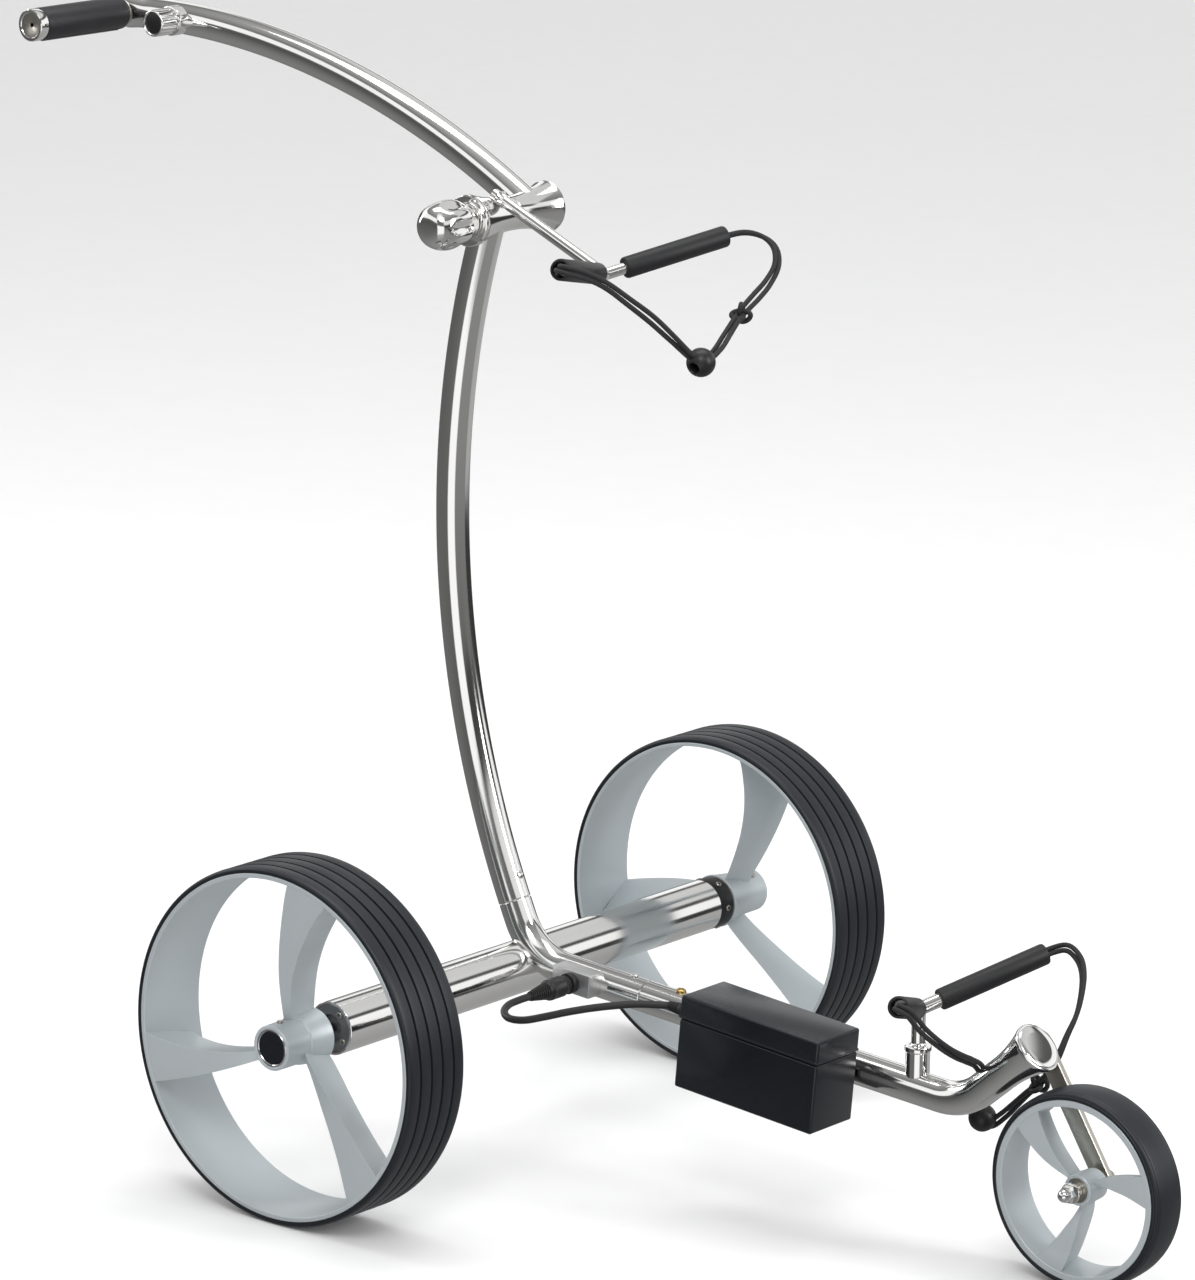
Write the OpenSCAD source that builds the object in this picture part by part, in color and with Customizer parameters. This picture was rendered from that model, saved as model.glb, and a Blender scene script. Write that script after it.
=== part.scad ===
// Electric golf trolley: polished tube frame, two driven rear wheels, one front wheel,
// curved two-part mast with a folding joint and a one-sided grip, two bag cradles, side battery.
// Units are millimetres. +X is forward, +Y is left, +Z is up, and the ground is at Z = 0.

/* [Rear wheels] */
// Diameter of a rear wheel over its tread
rear_wheel_d = 300; // [290:1:304]
// Width of a rear wheel
rear_wheel_w = 67; // [60:1:70]
// Distance between the outer faces of the two rear wheels
track_out = 632; // [620:2:660]
// Thickness of a rear tyre
rear_tyre_t = 5; // [4:0.5:6]
// Depth of the grooves round a rear tyre
rear_groove = 1.6; // [1:0.2:2]

/* [Front wheel] */
// Diameter of the front wheel
front_wheel_d = 163; // [158:1:168]
// Width of the front wheel
front_wheel_w = 38; // [34:1:40]
// Distance from the rear axle forward to the front axle
wheelbase = 586; // [580:1:600]
// Thickness of the front tyre
front_tyre_t = 7; // [6:0.5:8]

/* [Tubes] */
// Outer diameter of the mast, frame and beam tubes
mast_d = 28; // [27:0.5:29]
// Outer diameter of the axle tube
axle_d = 45; // [44:0.5:48]
// Wall thickness of the tubes
wall = 2; // [1.5:0.5:2.5]
// Bend radius of both mast tubes
mast_bend = 810; // [806:1:814]

/* [Mast joint] */
// Distance of the folding joint behind the rear axle
hinge_back = 42; // [40:1:44]
// Height of the folding joint
hinge_h = 788; // [786:1:790]
// Sideways offset of the upper mast from the lower one
mast_offset = 52; // [51:1:54]

/* [Grip] */
// Diameter of the grip
grip_d = 28.5; // [27:0.5:30]
// Distance of the grip's middle line behind the rear axle
grip_back = 494; // [492:1:496]

/* [Battery] */
// Length, width and height of the battery box
battery_size = [142, 56, 79.5];
// Height of the battery's lid
battery_lid_h = 20; // [16:1:26]

/* [Cradles] */
// Diameter of the rubber sleeves on the cradle arms
sleeve_d = 18; // [17:0.5:20]
// Diameter of a cord toggle ball
ball_d = 24; // [22:0.5:24]

/* [Hidden] */
$fn = 48;

tube_r = mast_d / 2;
bore_r = tube_r - wall;
axle_r = axle_d / 2;
rear_r = rear_wheel_d / 2;
front_r = front_wheel_d / 2;
axle_z = rear_r;
wheel_out = track_out / 2;
wheel_in = wheel_out - rear_wheel_w;
lap = 1; // length by which a straight laps into a bend
lap_step = 0.04; // how much thinner a straight is than its bend
touch = 0.3; // gap between faces of different bodies
run_fit = 0.05; // radial clearance of a turning fit

// Lower mast: one arc whose centre is ahead of it, down to the seam above the axle
mast_centre = [730.5, 0, 539];
mast_top_a = 162.2;
mast_seam_a = 204.3;
seam_gap_a = 0.015; // angle of the hairline gap at the mast's seam
spigot_a = 3.6; // angle that the spigot reaches up inside the mast
mast_seam = [mast_centre.x + mast_bend * cos(mast_seam_a), 0, mast_centre.z + mast_bend * sin(mast_seam_a)];
mast_heading = mast_seam_a - 270; // direction of travel down the mast at the seam

// Upper mast: one arc whose centre is below it, level at its top end
handle_centre = [-470, mast_offset, 102];
handle_low_a = 58.1;
handle_top = [handle_centre.x, mast_offset, handle_centre.z + mast_bend];
flare_tilt = 175;
flare_len = 26;
flare_r = 17.5;
cap_len = 26;

// Frame tube and beam: straight, sloping gently down to the front
beam_slope = -4.2;
beam_z0 = 159.6; // height of the beam's middle line above the rear axle's plane
beam_seam_x = 138;
beam_turn = 45.2;
beam_corner_x = 465.1;
frame_bend = 60;
head_bend = 55;
head_len = 95.3; // from the beam's corner to the face of the head cap
button_back = 16; // from the beam's seam back to its snap button
button_hole_r = 3.5;
screw_ahead = 34; // from the beam's seam forward to its screw
screw_head_r = 4.5;
function beam_z(x) = beam_z0 + x * tan(beam_slope);
frame_turn = beam_slope - mast_heading;
frame_corner_len = (mast_seam.z - beam_z(mast_seam.x)) / (tan(beam_slope) * cos(mast_heading) - sin(mast_heading));
frame_corner_x = mast_seam.x + frame_corner_len * cos(mast_heading);
frame_tangent = frame_bend * tan(frame_turn / 2);
head_tangent = head_bend * tan(beam_turn / 2);
head_slope = beam_slope + beam_turn;
head_r = 21;

// Folding joint
hinge = [-hinge_back, 0, hinge_h];
seam_y = mast_offset / 2;
barrel_len = 48;
barrel_r = 14.5;
barrel_flare_r = 21.5;
bolt_r = 5;

// Axle ends
near_end = -243;
far_end = 246;
far_flange_end = 264;
shaft_r = 5;

// Grip and speed knob
grip_z = 912;
grip_root_y = mast_offset - 18;
grip_tip_y = -78;
bezel_y = 29.5; // outer face of the knob's foot
sensor_y = 43.3;
knob_shaft_r = 3;
speed_x = -431;
speed_z = handle_centre.z + sqrt(pow(mast_bend, 2) - pow(speed_x - handle_centre.x, 2));

// Cradles
upper_root = [-36, 0, 808];
upper_apex = [83, 0, 755];
upper_tip = [124, 107, 778];
lower_apex = [418, 0, 195];
lower_tip = [471, 100, 230];
upper_arm_r = 5;
lower_arm_r = 5.75;
sleeve_start = 19;
mouth_len = 13; // open end of a sleeve past its arm
mouth_r = 6.5;

function unit(v) = v / norm(v);
function mirrored(p) = [p.x, -p.y, p.z];
function along(p, q, s) = p + unit(q - p) * s;

// Battery box, hung on the beam's right side
battery_at = [297.5, -44, 140];
battery_pitch = 5;
box_wall = 3;

// Fork leg
fork_top = [522, 184];
fork_y = 21.4;
fork_t = 6;
fork_w = 16;
front_axle_r = 4;
front_hub_y = 12.5; // half length of the front hub

// Routes of the cords, along their middle lines
lead_d = 6.3;
lead_route = [
    [76, -80, 155.5], [76, -94, 155.5], [77, -108, 155], [82, -120, 153], [93, -127, 151], [108, -126, 152],
    [123, -118, 156], [139, -108, 161], [155, -97, 165], [171, -86, 168], [188, -74, 170], [210, -60, 170],
];
bungee_d = 9; // two elastic cords of 4.5 mm side by side
upper_route = [
    mirrored(along(upper_tip, upper_apex, mouth_len)), [126, -112, 780], [136, -115, 780], [148, -105, 776], [158, -90, 767],
    [169, -73, 752], [177, -55, 737], [185, -38, 720], [192, -22, 704], [194, -8, 698], [190, 14, 704], [183, 36, 713],
    [177, 56, 722], [173, 72, 728], [171, 90, 736], [170, 106, 745], [167, 121, 757], [158, 130, 769],
    [145, 130, 777], [131, 120, 780], along(upper_tip, upper_apex, mouth_len),
];
lower_route = [
    mirrored(along(lower_tip, lower_apex, mouth_len)), [474, -106, 232], [483, -104, 229], [483, -93, 219],
    [480, -79, 208], [478, -62, 196],
    [478, -43, 183], [477, -25, 173], [475, -8, 165], [472, 9, 156], [468, 22, 142], [464, 25, 125],
    [464, 25, 108], [470, 29, 102], [480, 33, 110], [490, 36, 121], [500, 38, 132], [509, 40, 141],
    [517, 44, 152], [521, 51, 166], [522, 60, 180], [522, 72, 194], [518, 84, 207], [511, 96, 220],
    [500, 106, 229], [486, 110, 235], [474, 106, 232],
    along(lower_tip, lower_apex, mouth_len),
];
upper_ball_at = [194, -12, 698];
lower_ball_at = [465, 26, 107];
upper_knot_at = [175, 64, 725];
lower_knot_at = [509, 40, 141];
knot_r = 7;

x_max = wheelbase + front_r;
x_min = handle_top.x + (flare_len + cap_len) * cos(flare_tilt) - (flare_r - 7) * sin(flare_tilt);
x_shift = -(x_max + x_min) / 2;

steel = [0.78, 0.79, 0.80];
brushed = [0.66, 0.66, 0.63];
silver_paint = [0.68, 0.72, 0.75];
black = [0.07, 0.08, 0.09];
dark_grey = [0.2, 0.2, 0.21];
brass = [0.75, 0.6, 0.25];

// Moves a shape from the rear axle's frame to the middle of the trolley's footprint
module row() {
    translate([x_shift, 0, 0]) children();
}

// Turns a shape built along Z so that it runs along +Y, starting at y
module along_y(x, y, z) {
    translate([x, y, z]) rotate([-90, 0, 0]) children();
}

// A round bar along +Y from y0 to y1
module y_bar(x, z, y0, y1, r) {
    along_y(x, y0, z) cylinder(h = y1 - y0, r = r);
}

// A round bar along +X from the origin
module x_bar(len, r) {
    rotate([0, 90, 0]) cylinder(h = len, r = r);
}

// A round bar from p to q, lengthened by extra at both ends
module bar(p, q, r, extra = 0) {
    d = q - p;
    len = norm(d);
    translate(p) rotate([0, acos(d.z / len), atan2(d.y, d.x)])
        translate([0, 0, -extra]) cylinder(h = len + 2 * extra, r = r);
}

// A bent bar in the XZ plane, from angle a0 to a1 about its centre
module arc_bar(centre, bend, a0, a1, r) {
    translate(centre) rotate([90, 0, 0]) rotate([0, 0, a0])
        rotate_extrude(angle = a1 - a0, $fn = bend > 200 ? 360 : 96) translate([bend, 0]) circle(r = r, $fn = 48);
}

// A bar that starts at start, runs along heading, bends upwards by turn and runs straight again.
// Its straights are a hair thinner than the bend and lap into it.
module bent_bar(start, heading, len_a, bend, turn, len_b, r, extra = 0) {
    translate(start) rotate([0, -heading, 0]) {
        translate([-extra, 0, 0]) x_bar(len_a + extra + lap, r - lap_step);
        arc_bar([len_a, 0, bend], bend, -90, turn - 90, r);
        translate([len_a + bend * sin(turn), 0, bend * (1 - cos(turn))]) rotate([0, -turn, 0])
            translate([-lap, 0, 0]) x_bar(len_b + lap + extra, r - lap_step);
    }
}

function route_dir(p, i) = unit(p[min(i + 1, len(p) - 1)] - p[max(i - 1, 0)]);
function route_ring(c, d, ref, r, n) =
    let (u = unit(cross(d, ref)), v = cross(d, u))
    [for (k = [0 : n - 1]) c + r * (u * cos(360 * k / n) + v * sin(360 * k / n))];

// A tube swept along a route, with flat ends
module cord(p, d, ref, n = 8) {
    m = len(p);
    rings = [for (i = [0 : m - 1]) each route_ring(p[i], route_dir(p, i), ref, d / 2, n)];
    sides = [for (i = [0 : m - 2], k = [0 : n - 1])
        [i * n + k, i * n + (k + 1) % n, (i + 1) * n + (k + 1) % n, (i + 1) * n + k]];
    first = [for (k = [n - 1 : -1 : 0]) k];
    last = [for (k = [0 : n - 1]) (m - 1) * n + k];
    polyhedron(points = rings, faces = concat([first], sides, [last]), convexity = 6);
}

// ---------- axle, motors and frame ----------

module axle_tube() {
    row() color(steel) difference() {
        y_bar(0, axle_z, near_end, far_end, axle_r);
        y_bar(0, axle_z, near_end - 1, far_end + 1, axle_r - wall);
    }
}

module frame_line(r, extra = 0) {
    bent_bar(mast_seam, mast_heading, frame_corner_len - frame_tangent, frame_bend, frame_turn,
        (beam_seam_x - frame_corner_x) / cos(beam_slope) - frame_tangent, r, extra);
}

module frame_tube() {
    row() color(steel) difference() {
        frame_line(tube_r);
        frame_line(bore_r, 1);
        y_bar(0, axle_z, -60, 60, axle_r);
        beam_frame() translate([-button_back, 0, 0]) cylinder(h = 20, r = button_hole_r);
    }
}

// Sleeve fixed in the frame tube that the mast slips over, slotted for the snap button
module mast_spigot() {
    row() color(steel) difference() {
        union() {
            arc_bar(mast_centre, mast_bend, mast_seam_a - spigot_a, mast_seam_a, bore_r - run_fit);
            translate(mast_seam) rotate([0, 90 - mast_heading, 0]) cylinder(h = 14, r = bore_r - lap_step);
            translate(mast_seam) rotate([0, 90 - mast_heading, 0]) translate([0, 0, -3])
                cylinder(h = 6, r = bore_r - 0.8);
        }
        arc_bar(mast_centre, mast_bend, mast_seam_a - spigot_a - 1, mast_seam_a, bore_r - 2);
        translate(mast_seam) rotate([0, 90 - mast_heading, 0]) translate([0, 0, -3])
            cylinder(h = 20, r = bore_r - 2.5);
        translate(mast_seam) rotate([0, -90 - mast_heading, 0]) translate([4, -4, 6]) cube([20, 8, 60]);
    }
}

block_at = [76, -20.5, 156.3];

module socket_block() {
    row() color(brushed) difference() {
        translate(block_at) rotate([0, -beam_slope, 0]) translate([-20, -6.5, -10]) cube([40, 18, 20]);
        frame_line(tube_r);
        y_bar(block_at.x, 155.5, -28, -22, 7);
    }
}

module power_socket() {
    row() color(black) difference() {
        union() {
            y_bar(block_at.x, 155.5, -27, -22, 7);
            y_bar(block_at.x, 155.5, -32, -27, 9);
        }
        y_bar(block_at.x, 155.5, -33, -24, 5);
    }
}

module power_plug() {
    row() color(black) {
        y_bar(block_at.x, 155.5, -32, -24, 5);
        y_bar(block_at.x, 155.5, -39, -32, 7.5);
        y_bar(block_at.x, 155.5, -57, -39, 9);
        along_y(block_at.x, -81, 155.5) cylinder(h = 24, r1 = 4.2, r2 = 8.4);
    }
}

module power_lead() {
    row() color(black) cord(lead_route, lead_d, [0, 0, 1]);
}

module lead_gland() {
    row() color(black) battery_frame() translate([-battery_size.x / 2 - 20, -16, 22]) x_bar(20, 5.5);
}

module controller() {
    row() color("darkgreen") translate([-14, -38, axle_z - 8]) cube([28, 76, 16]);
}

module motor(y0, y1) {
    row() color(dark_grey) y_bar(0, axle_z, y0, y1, 17.5);
}

module left_motor() { motor(60, 150); }

module right_motor() { motor(-150, -60); }

module gearbox(y0, y1) {
    row() color(brushed) difference() {
        y_bar(0, axle_z, y0, y1, 19);
        y_bar(0, axle_z, y0 - 1, y1 + 1, shaft_r + run_fit);
    }
}

module left_gearbox() { gearbox(150, 226); }

module right_gearbox() { gearbox(-223, -150); }

// Black ring between the tube and the left wheel, with its screws round the rim
module left_flange() {
    row() color(black) difference() {
        union() {
            y_bar(0, axle_z, far_end, far_flange_end, axle_r);
            y_bar(0, axle_z, 226, far_end, axle_r - wall);
        }
        y_bar(0, axle_z, 220, 270, shaft_r + run_fit);
        for (a = [0 : 60 : 300])
            translate([0, (far_end + far_flange_end) / 2, axle_z]) rotate([0, a, 0])
                translate([0, 0, axle_r - 3]) cylinder(h = 4, r = 2.6);
    }
}

// Plate that closes the right end of the tube, with its screws in the face
module right_flange() {
    row() color(brushed) difference() {
        y_bar(0, axle_z, near_end, -223, axle_r - wall);
        y_bar(0, axle_z, near_end - 5, -220, shaft_r + run_fit);
        y_bar(0, axle_z, near_end - 1, near_end + 6, 11);
        for (a = [0 : 90 : 270])
            translate([0, 0, axle_z]) rotate([0, a + 35, 0]) translate([0, 0, 16])
                y_bar(0, 0, near_end - 1, near_end + 4, 2.9);
    }
}

module flange_screws() {
    row() color(steel) {
        for (a = [0 : 60 : 300])
            translate([0, (far_end + far_flange_end) / 2, axle_z]) rotate([0, a, 0])
                translate([0, 0, axle_r - 3]) cylinder(h = 2.4, r = 2.6);
        for (a = [0 : 90 : 270])
            translate([0, 0, axle_z]) rotate([0, a + 35, 0]) translate([0, 0, 16])
                y_bar(0, 0, near_end + 1.5, near_end + 4, 2.9);
        difference() {
            for (y = [near_end + 8, far_end - 8])
                translate([0, y, axle_z - axle_r - 2]) cylinder(h = 4, r = 4);
            y_bar(0, axle_z, near_end - 1, far_end + 1, axle_r);
        }
    }
}

// ---------- front beam, head, fork, battery and lower cradle ----------

module beam_frame() {
    translate([beam_seam_x, 0, beam_z(beam_seam_x)]) rotate([0, -beam_slope, 0]) children();
}

// Length of the beam from the seam to its corner
beam_len = (beam_corner_x - beam_seam_x) / cos(beam_slope);

module head_frame() {
    beam_frame() translate([beam_len, 0, 0]) rotate([0, -beam_turn, 0]) children();
}

module beam_solid() {
    beam_frame() bent_bar([0, 0, 0], 0, beam_len - head_tangent, head_bend, beam_turn,
        head_len - 45 - head_tangent, tube_r);
    head_frame() translate([head_len - 46, 0, 0]) rotate([0, 90, 0]) {
        cylinder(h = 16, r1 = tube_r, r2 = tube_r + 1.2);
        translate([0, 0, 16]) cylinder(h = 14, r1 = tube_r + 1.2, r2 = tube_r + 3.6);
        translate([0, 0, 30]) cylinder(h = 11, r1 = tube_r + 3.6, r2 = head_r);
    }
}

module front_beam() {
    row() color(steel) difference() {
        beam_solid();
        beam_frame() bent_bar([0, 0, 0], 0, beam_len - head_tangent, head_bend, beam_turn,
            head_len - 5 - head_tangent, bore_r, 1);
        beam_frame() translate([screw_ahead, 0, 0]) cylinder(h = 20, r = 2);
        beam_frame() translate([screw_ahead, 0, bore_r + 1]) cylinder(h = 20, r = screw_head_r);
    }
}

module beam_spigot() {
    row() color(steel) difference() {
        beam_frame() translate([-48, 0, 0]) x_bar(96, bore_r - lap_step);
        beam_frame() translate([-50, 0, 0]) x_bar(100, bore_r - 2);
        beam_frame() translate([-button_back, 0, 0]) cylinder(h = 20, r = button_hole_r);
        beam_frame() translate([screw_ahead, 0, 0]) cylinder(h = 20, r = 2);
    }
}

module head_cap() {
    row() color(steel) head_frame() {
        translate([head_len - 5, 0, 0]) x_bar(4.2, head_r);
        translate([head_len - 0.8, 0, 0]) x_bar(0.8, head_r - 1.6);
        translate([head_len - 13, 0, 0]) x_bar(8, bore_r - lap_step);
    }
}

module beam_screw() {
    row() color(brass) beam_frame() translate([screw_ahead, 0, 0]) {
        translate([0, 0, bore_r - 4]) cylinder(h = 5, r = 2);
        difference() {
            translate([0, 0, bore_r + 1]) cylinder(h = 3.6, r = screw_head_r);
            translate([-3, -0.6, bore_r + 3.4]) cube([6, 1.2, 2]);
            translate([-0.6, -3, bore_r + 3.4]) cube([1.2, 6, 2]);
        }
    }
}

module button_shape() {
    translate([0, 0, bore_r - 5.5]) cylinder(h = 2, r = 4.6);
    translate([0, 0, bore_r - 4]) cylinder(h = 8, r = button_hole_r - run_fit);
}

module beam_button() {
    row() color(steel) beam_frame() translate([-button_back, 0, 0]) button_shape();
}

module fork_leg() {
    row() color(brushed) difference() {
        union() {
            hull() {
                y_bar(fork_top.x, fork_top.y, fork_y, fork_y + fork_t, fork_w / 2);
                y_bar(wheelbase, front_r, fork_y, fork_y + fork_t, fork_w / 2);
            }
            y_bar(fork_top.x + 2, fork_top.y - 8, 8, fork_y + 1, 7);
        }
        beam_solid();
        y_bar(wheelbase, front_r, fork_y - 5, fork_y + 12, front_axle_r);
    }
}

module front_axle() {
    row() color(steel) {
        y_bar(wheelbase, front_r, -30, fork_y + fork_t, front_axle_r);
        y_bar(wheelbase, front_r, fork_y + fork_t, fork_y + fork_t + 5, 6.5);
        y_bar(wheelbase, front_r, front_hub_y + touch, fork_y, 6);
    }
}

module axle_nut() {
    row() color(steel) difference() {
        union() {
            y_bar(wheelbase, front_r, -20.5, -front_hub_y - touch, 5.5);
            y_bar(wheelbase, front_r, -22, -20.5, 8.5);
            along_y(wheelbase, -28.5, front_r) cylinder(h = 6.5, r = 7.5, $fn = 6);
            translate([wheelbase, -29.5, front_r]) sphere(r = 6);
        }
        y_bar(wheelbase, front_r, -30, 0, front_axle_r);
    }
}

module battery_frame() {
    translate(battery_at) rotate([0, battery_pitch, 0]) children();
}

module rounded_plate(size, r, h) {
    linear_extrude(h) {
        square([size.x - 2 * r, size.y], center = true);
        square([size.x, size.y - 2 * r], center = true);
        for (sx = [-1, 1], sy = [-1, 1])
            translate([sx * (size.x / 2 - r), sy * (size.y / 2 - r)]) circle(r = r);
    }
}

case_h = battery_size.z - battery_lid_h;

module battery_case() {
    row() color(black) battery_frame() translate([0, 0, -battery_size.z / 2]) difference() {
        rounded_plate(battery_size, 3, case_h);
        translate([0, 0, box_wall])
            rounded_plate(battery_size - [2 * box_wall, 2 * box_wall, 0], 1, case_h);
    }
}

module battery_lid() {
    row() color(black) battery_frame() translate([0, 0, case_h - battery_size.z / 2]) difference() {
        rounded_plate(battery_size, 3, battery_lid_h);
        translate([0, 0, -1])
            rounded_plate(battery_size - [2 * box_wall, 2 * box_wall, 0], 1, battery_lid_h - box_wall + 1);
    }
}

module battery_cells() {
    row() color("teal") battery_frame()
        for (i = [-3 : 3], j = [-1, 1])
            translate([i * 18.8, j * 9.6, -battery_size.z / 2 + box_wall]) cylinder(h = 65, r = 9.1);
}

module battery_bracket() {
    far_y = battery_at.y + battery_size.y / 2;
    row() color(dark_grey) difference() {
        translate([battery_at.x - 30, far_y, beam_z(battery_at.x) - 12]) cube([60, 10, 24]);
        beam_solid();
    }
}

module cradle_post_solid() {
    x = lower_apex.x;
    translate([x, 0, beam_z(x)]) cylinder(h = 165 - beam_z(x), r = 10);
    translate([x, 0, 160]) cylinder(h = 5, r = 11);
    translate([x, 0, beam_z(x)]) cylinder(h = lower_apex.z - beam_z(x), r = lower_arm_r);
    translate(lower_apex) sphere(r = lower_arm_r + 1);
}

module cradle_post() {
    row() color(steel) difference() {
        cradle_post_solid();
        beam_solid();
    }
}

module arm(apex, tip, r) {
    bar(apex, along(tip, apex, mouth_len), r);
}

module sleeve(apex, tip, r) {
    end = norm(tip - apex);
    difference() {
        bar(along(apex, tip, sleeve_start), tip, sleeve_d / 2);
        bar(apex, tip, r);
        bar(along(apex, tip, end - mouth_len), along(apex, tip, end + 1), mouth_r);
    }
}

module lower_arms() {
    row() color(steel) difference() {
        for (tip = [lower_tip, mirrored(lower_tip)]) arm(lower_apex, tip, lower_arm_r);
        cradle_post_solid();
    }
}

module lower_sleeves() {
    row() color(black)
        for (tip = [lower_tip, mirrored(lower_tip)]) sleeve(lower_apex, tip, lower_arm_r);
}

module lower_bungee() {
    row() color(black) cord(lower_route, bungee_d, [1, 0, 0]);
}

module lower_ball() {
    row() color(black) {
        translate(lower_ball_at) sphere(r = ball_d / 2 - 0.5);
        translate(lower_knot_at) sphere(r = knot_r);
    }
}

// ---------- wheels ----------

// Rear tyre, seen along Y: a thin ring with grooves in its tread
module rear_tyre(y0) {
    groove_w = 3;
    pitch = rear_wheel_w / 5;
    row() color(black) difference() {
        along_y(0, y0, axle_z) {
            cylinder(h = 3, r1 = rear_r - 1.5, r2 = rear_r);
            translate([0, 0, 3]) cylinder(h = rear_wheel_w - 6, r = rear_r);
            translate([0, 0, rear_wheel_w - 3]) cylinder(h = 3, r1 = rear_r, r2 = rear_r - 1.5);
        }
        y_bar(0, axle_z, y0 - 1, y0 + rear_wheel_w + 1, rear_r - rear_tyre_t);
        for (i = [1 : 4])
            along_y(0, y0 + i * pitch - groove_w / 2, axle_z) difference() {
                cylinder(h = groove_w, r = rear_r + 1);
                translate([0, 0, -1]) cylinder(h = groove_w + 2, r = rear_r - rear_groove);
            }
    }
}

// Edges of a wheel spoke at rising distances from the axle. Each row holds the distance, then the
// sideways place and the depth behind the wheel's outer plane of the leading edge, of the crease
// and of the ridge at the back.
rear_spoke = [
    [15, 8.5, 21, 3.1, 25, 3.6, 50.5],
    [24, 10.1, 18.1, 3.5, 21.6, 4.2, 50],
    [32, 11.5, 15.6, 3.7, 18.9, 4.8, 49],
    [48, 13.8, 11.1, 3.2, 13.8, 5.1, 46.5],
    [66, 16, 7, 1.2, 9, 4.4, 44.3],
    [86, 17.9, 3.4, -2.8, 4.9, 2.4, 44.1],
    [106, 19.1, 1.6, -8.6, 2.4, -1, 46.3],
    [124, 19.8, 0.8, -15.4, 0.9, -5.2, 50.4],
    [136, 19.9, 0.7, -20.8, 0.7, -8.6, 54.2],
    [142.3, 19.9, 0.7, -23.8, 0.7, -10.5, 56.5],
];
front_spoke = [
    [9.5, 3.6, 12.5, 2.6, 14.2, 4.8, 30],
    [21, 7.4, 9.7, 2.1, 10.8, 6, 32],
    [29, 9.4, 7.4, 0.5, 8, 6.2, 32.4],
    [37, 10.9, 5.6, -1.7, 5.8, 6, 32.6],
    [46, 11.7, 4.2, -4.5, 4.2, 5.4, 33.1],
    [54, 11.9, 3.2, -7.9, 3.2, 4.5, 33.9],
    [62, 11.4, 2.7, -11.9, 2.8, 3.2, 34.9],
    [71.5, 10.2, 2.7, -17.3, 2.9, 1.2, 36.4],
];

// One twisted spoke along +X
module spoke(rows) {
    last = len(rows) - 1;
    polyhedron(
        points = [for (r = rows, k = [1, 3, 5]) [r[0], r[k + 1], r[k]]],
        faces = concat(
            [[0, 1, 2], [3 * last + 2, 3 * last + 1, 3 * last]],
            [for (i = [0 : last - 1], k = [0 : 2]) [3 * i + k, 3 * i + 3 + k, 3 * i + 3 + (k + 1) % 3]],
            [for (i = [0 : last - 1], k = [0 : 2]) [3 * i + k, 3 * i + 3 + (k + 1) % 3, 3 * i + (k + 1) % 3]]
        )
    );
}

module rear_rim_shape() {
    rim_r = rear_r - rear_tyre_t;
    w = rear_wheel_w;
    difference() {
        union() {
            difference() {
                y_bar(0, 0, 0, w, rim_r);
                along_y(0, -0.1, 0) cylinder(h = w / 2 + 0.2, r1 = rim_r - 3, r2 = rim_r - 5.5);
                along_y(0, w / 2, 0) cylinder(h = w / 2 + 0.1, r1 = rim_r - 5.5, r2 = rim_r - 3);
            }
            y_bar(0, 0, 0, 30, 19);
            y_bar(0, 0, 24.5, 51, 21);
            for (a = [75, 195, 315]) rotate([0, -a, 0]) spoke(rear_spoke);
        }
        y_bar(0, 0, -1, 4, 15.5);
        y_bar(0, 0, 3, w, shaft_r);
    }
}

module right_rim() {
    row() color(silver_paint) translate([0, -wheel_out, axle_z]) rear_rim_shape();
}

// The left rim is the same moulding as the right one, turned round
module left_rim() {
    row() color(silver_paint) translate([0, wheel_out, axle_z]) rotate([0, 30, 0]) rotate([0, 0, 180])
        rear_rim_shape();
}

module left_tyre() { rear_tyre(wheel_in); }

module right_tyre() { rear_tyre(-wheel_out); }

// Drive shaft from the gearbox into the hub, with the hub badge and the set screw
module shaft_set() {
    y_bar(0, 0, 8, rear_wheel_w + 50, shaft_r);
    y_bar(0, 0, 2, 8, 4);
    y_bar(0, 0, 0.6, 3.9, 15.4);
}

module right_shaft() {
    row() color(steel) translate([0, -wheel_out, axle_z]) shaft_set();
}

module left_shaft() {
    row() color(steel) translate([0, wheel_out, axle_z]) mirror([0, 1, 0]) shaft_set();
}

module front_tyre() {
    w = front_wheel_w;
    row() color(black) difference() {
        along_y(wheelbase, -w / 2, front_r) {
            cylinder(h = 4, r1 = front_r - 1.8, r2 = front_r - 0.5);
            translate([0, 0, 4]) cylinder(h = 6, r1 = front_r - 0.5, r2 = front_r);
            translate([0, 0, 10]) cylinder(h = w - 20, r = front_r);
            translate([0, 0, w - 10]) cylinder(h = 6, r1 = front_r, r2 = front_r - 0.5);
            translate([0, 0, w - 4]) cylinder(h = 4, r1 = front_r - 0.5, r2 = front_r - 1.8);
        }
        y_bar(wheelbase, front_r, -w, w, front_r - front_tyre_t);
    }
}

module front_rim() {
    rim_r = front_r - front_tyre_t;
    w = front_wheel_w;
    row() color(silver_paint) translate([wheelbase, 0, front_r]) difference() {
        union() {
            difference() {
                y_bar(0, 0, -w / 2, w / 2, rim_r);
                y_bar(0, 0, -w, w, rim_r - 5);
            }
            y_bar(0, 0, -front_hub_y, front_hub_y, 13);
            for (a = [13.5, 133.5, 253.5])
                rotate([0, -a, 0]) translate([0, -w / 2, 0]) spoke(front_spoke);
        }
        y_bar(0, 0, -w, w, 6);
        y_bar(0, 0, -w, 5 - front_hub_y, 10);
        y_bar(0, 0, front_hub_y - 5, w, 10);
    }
}

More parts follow.
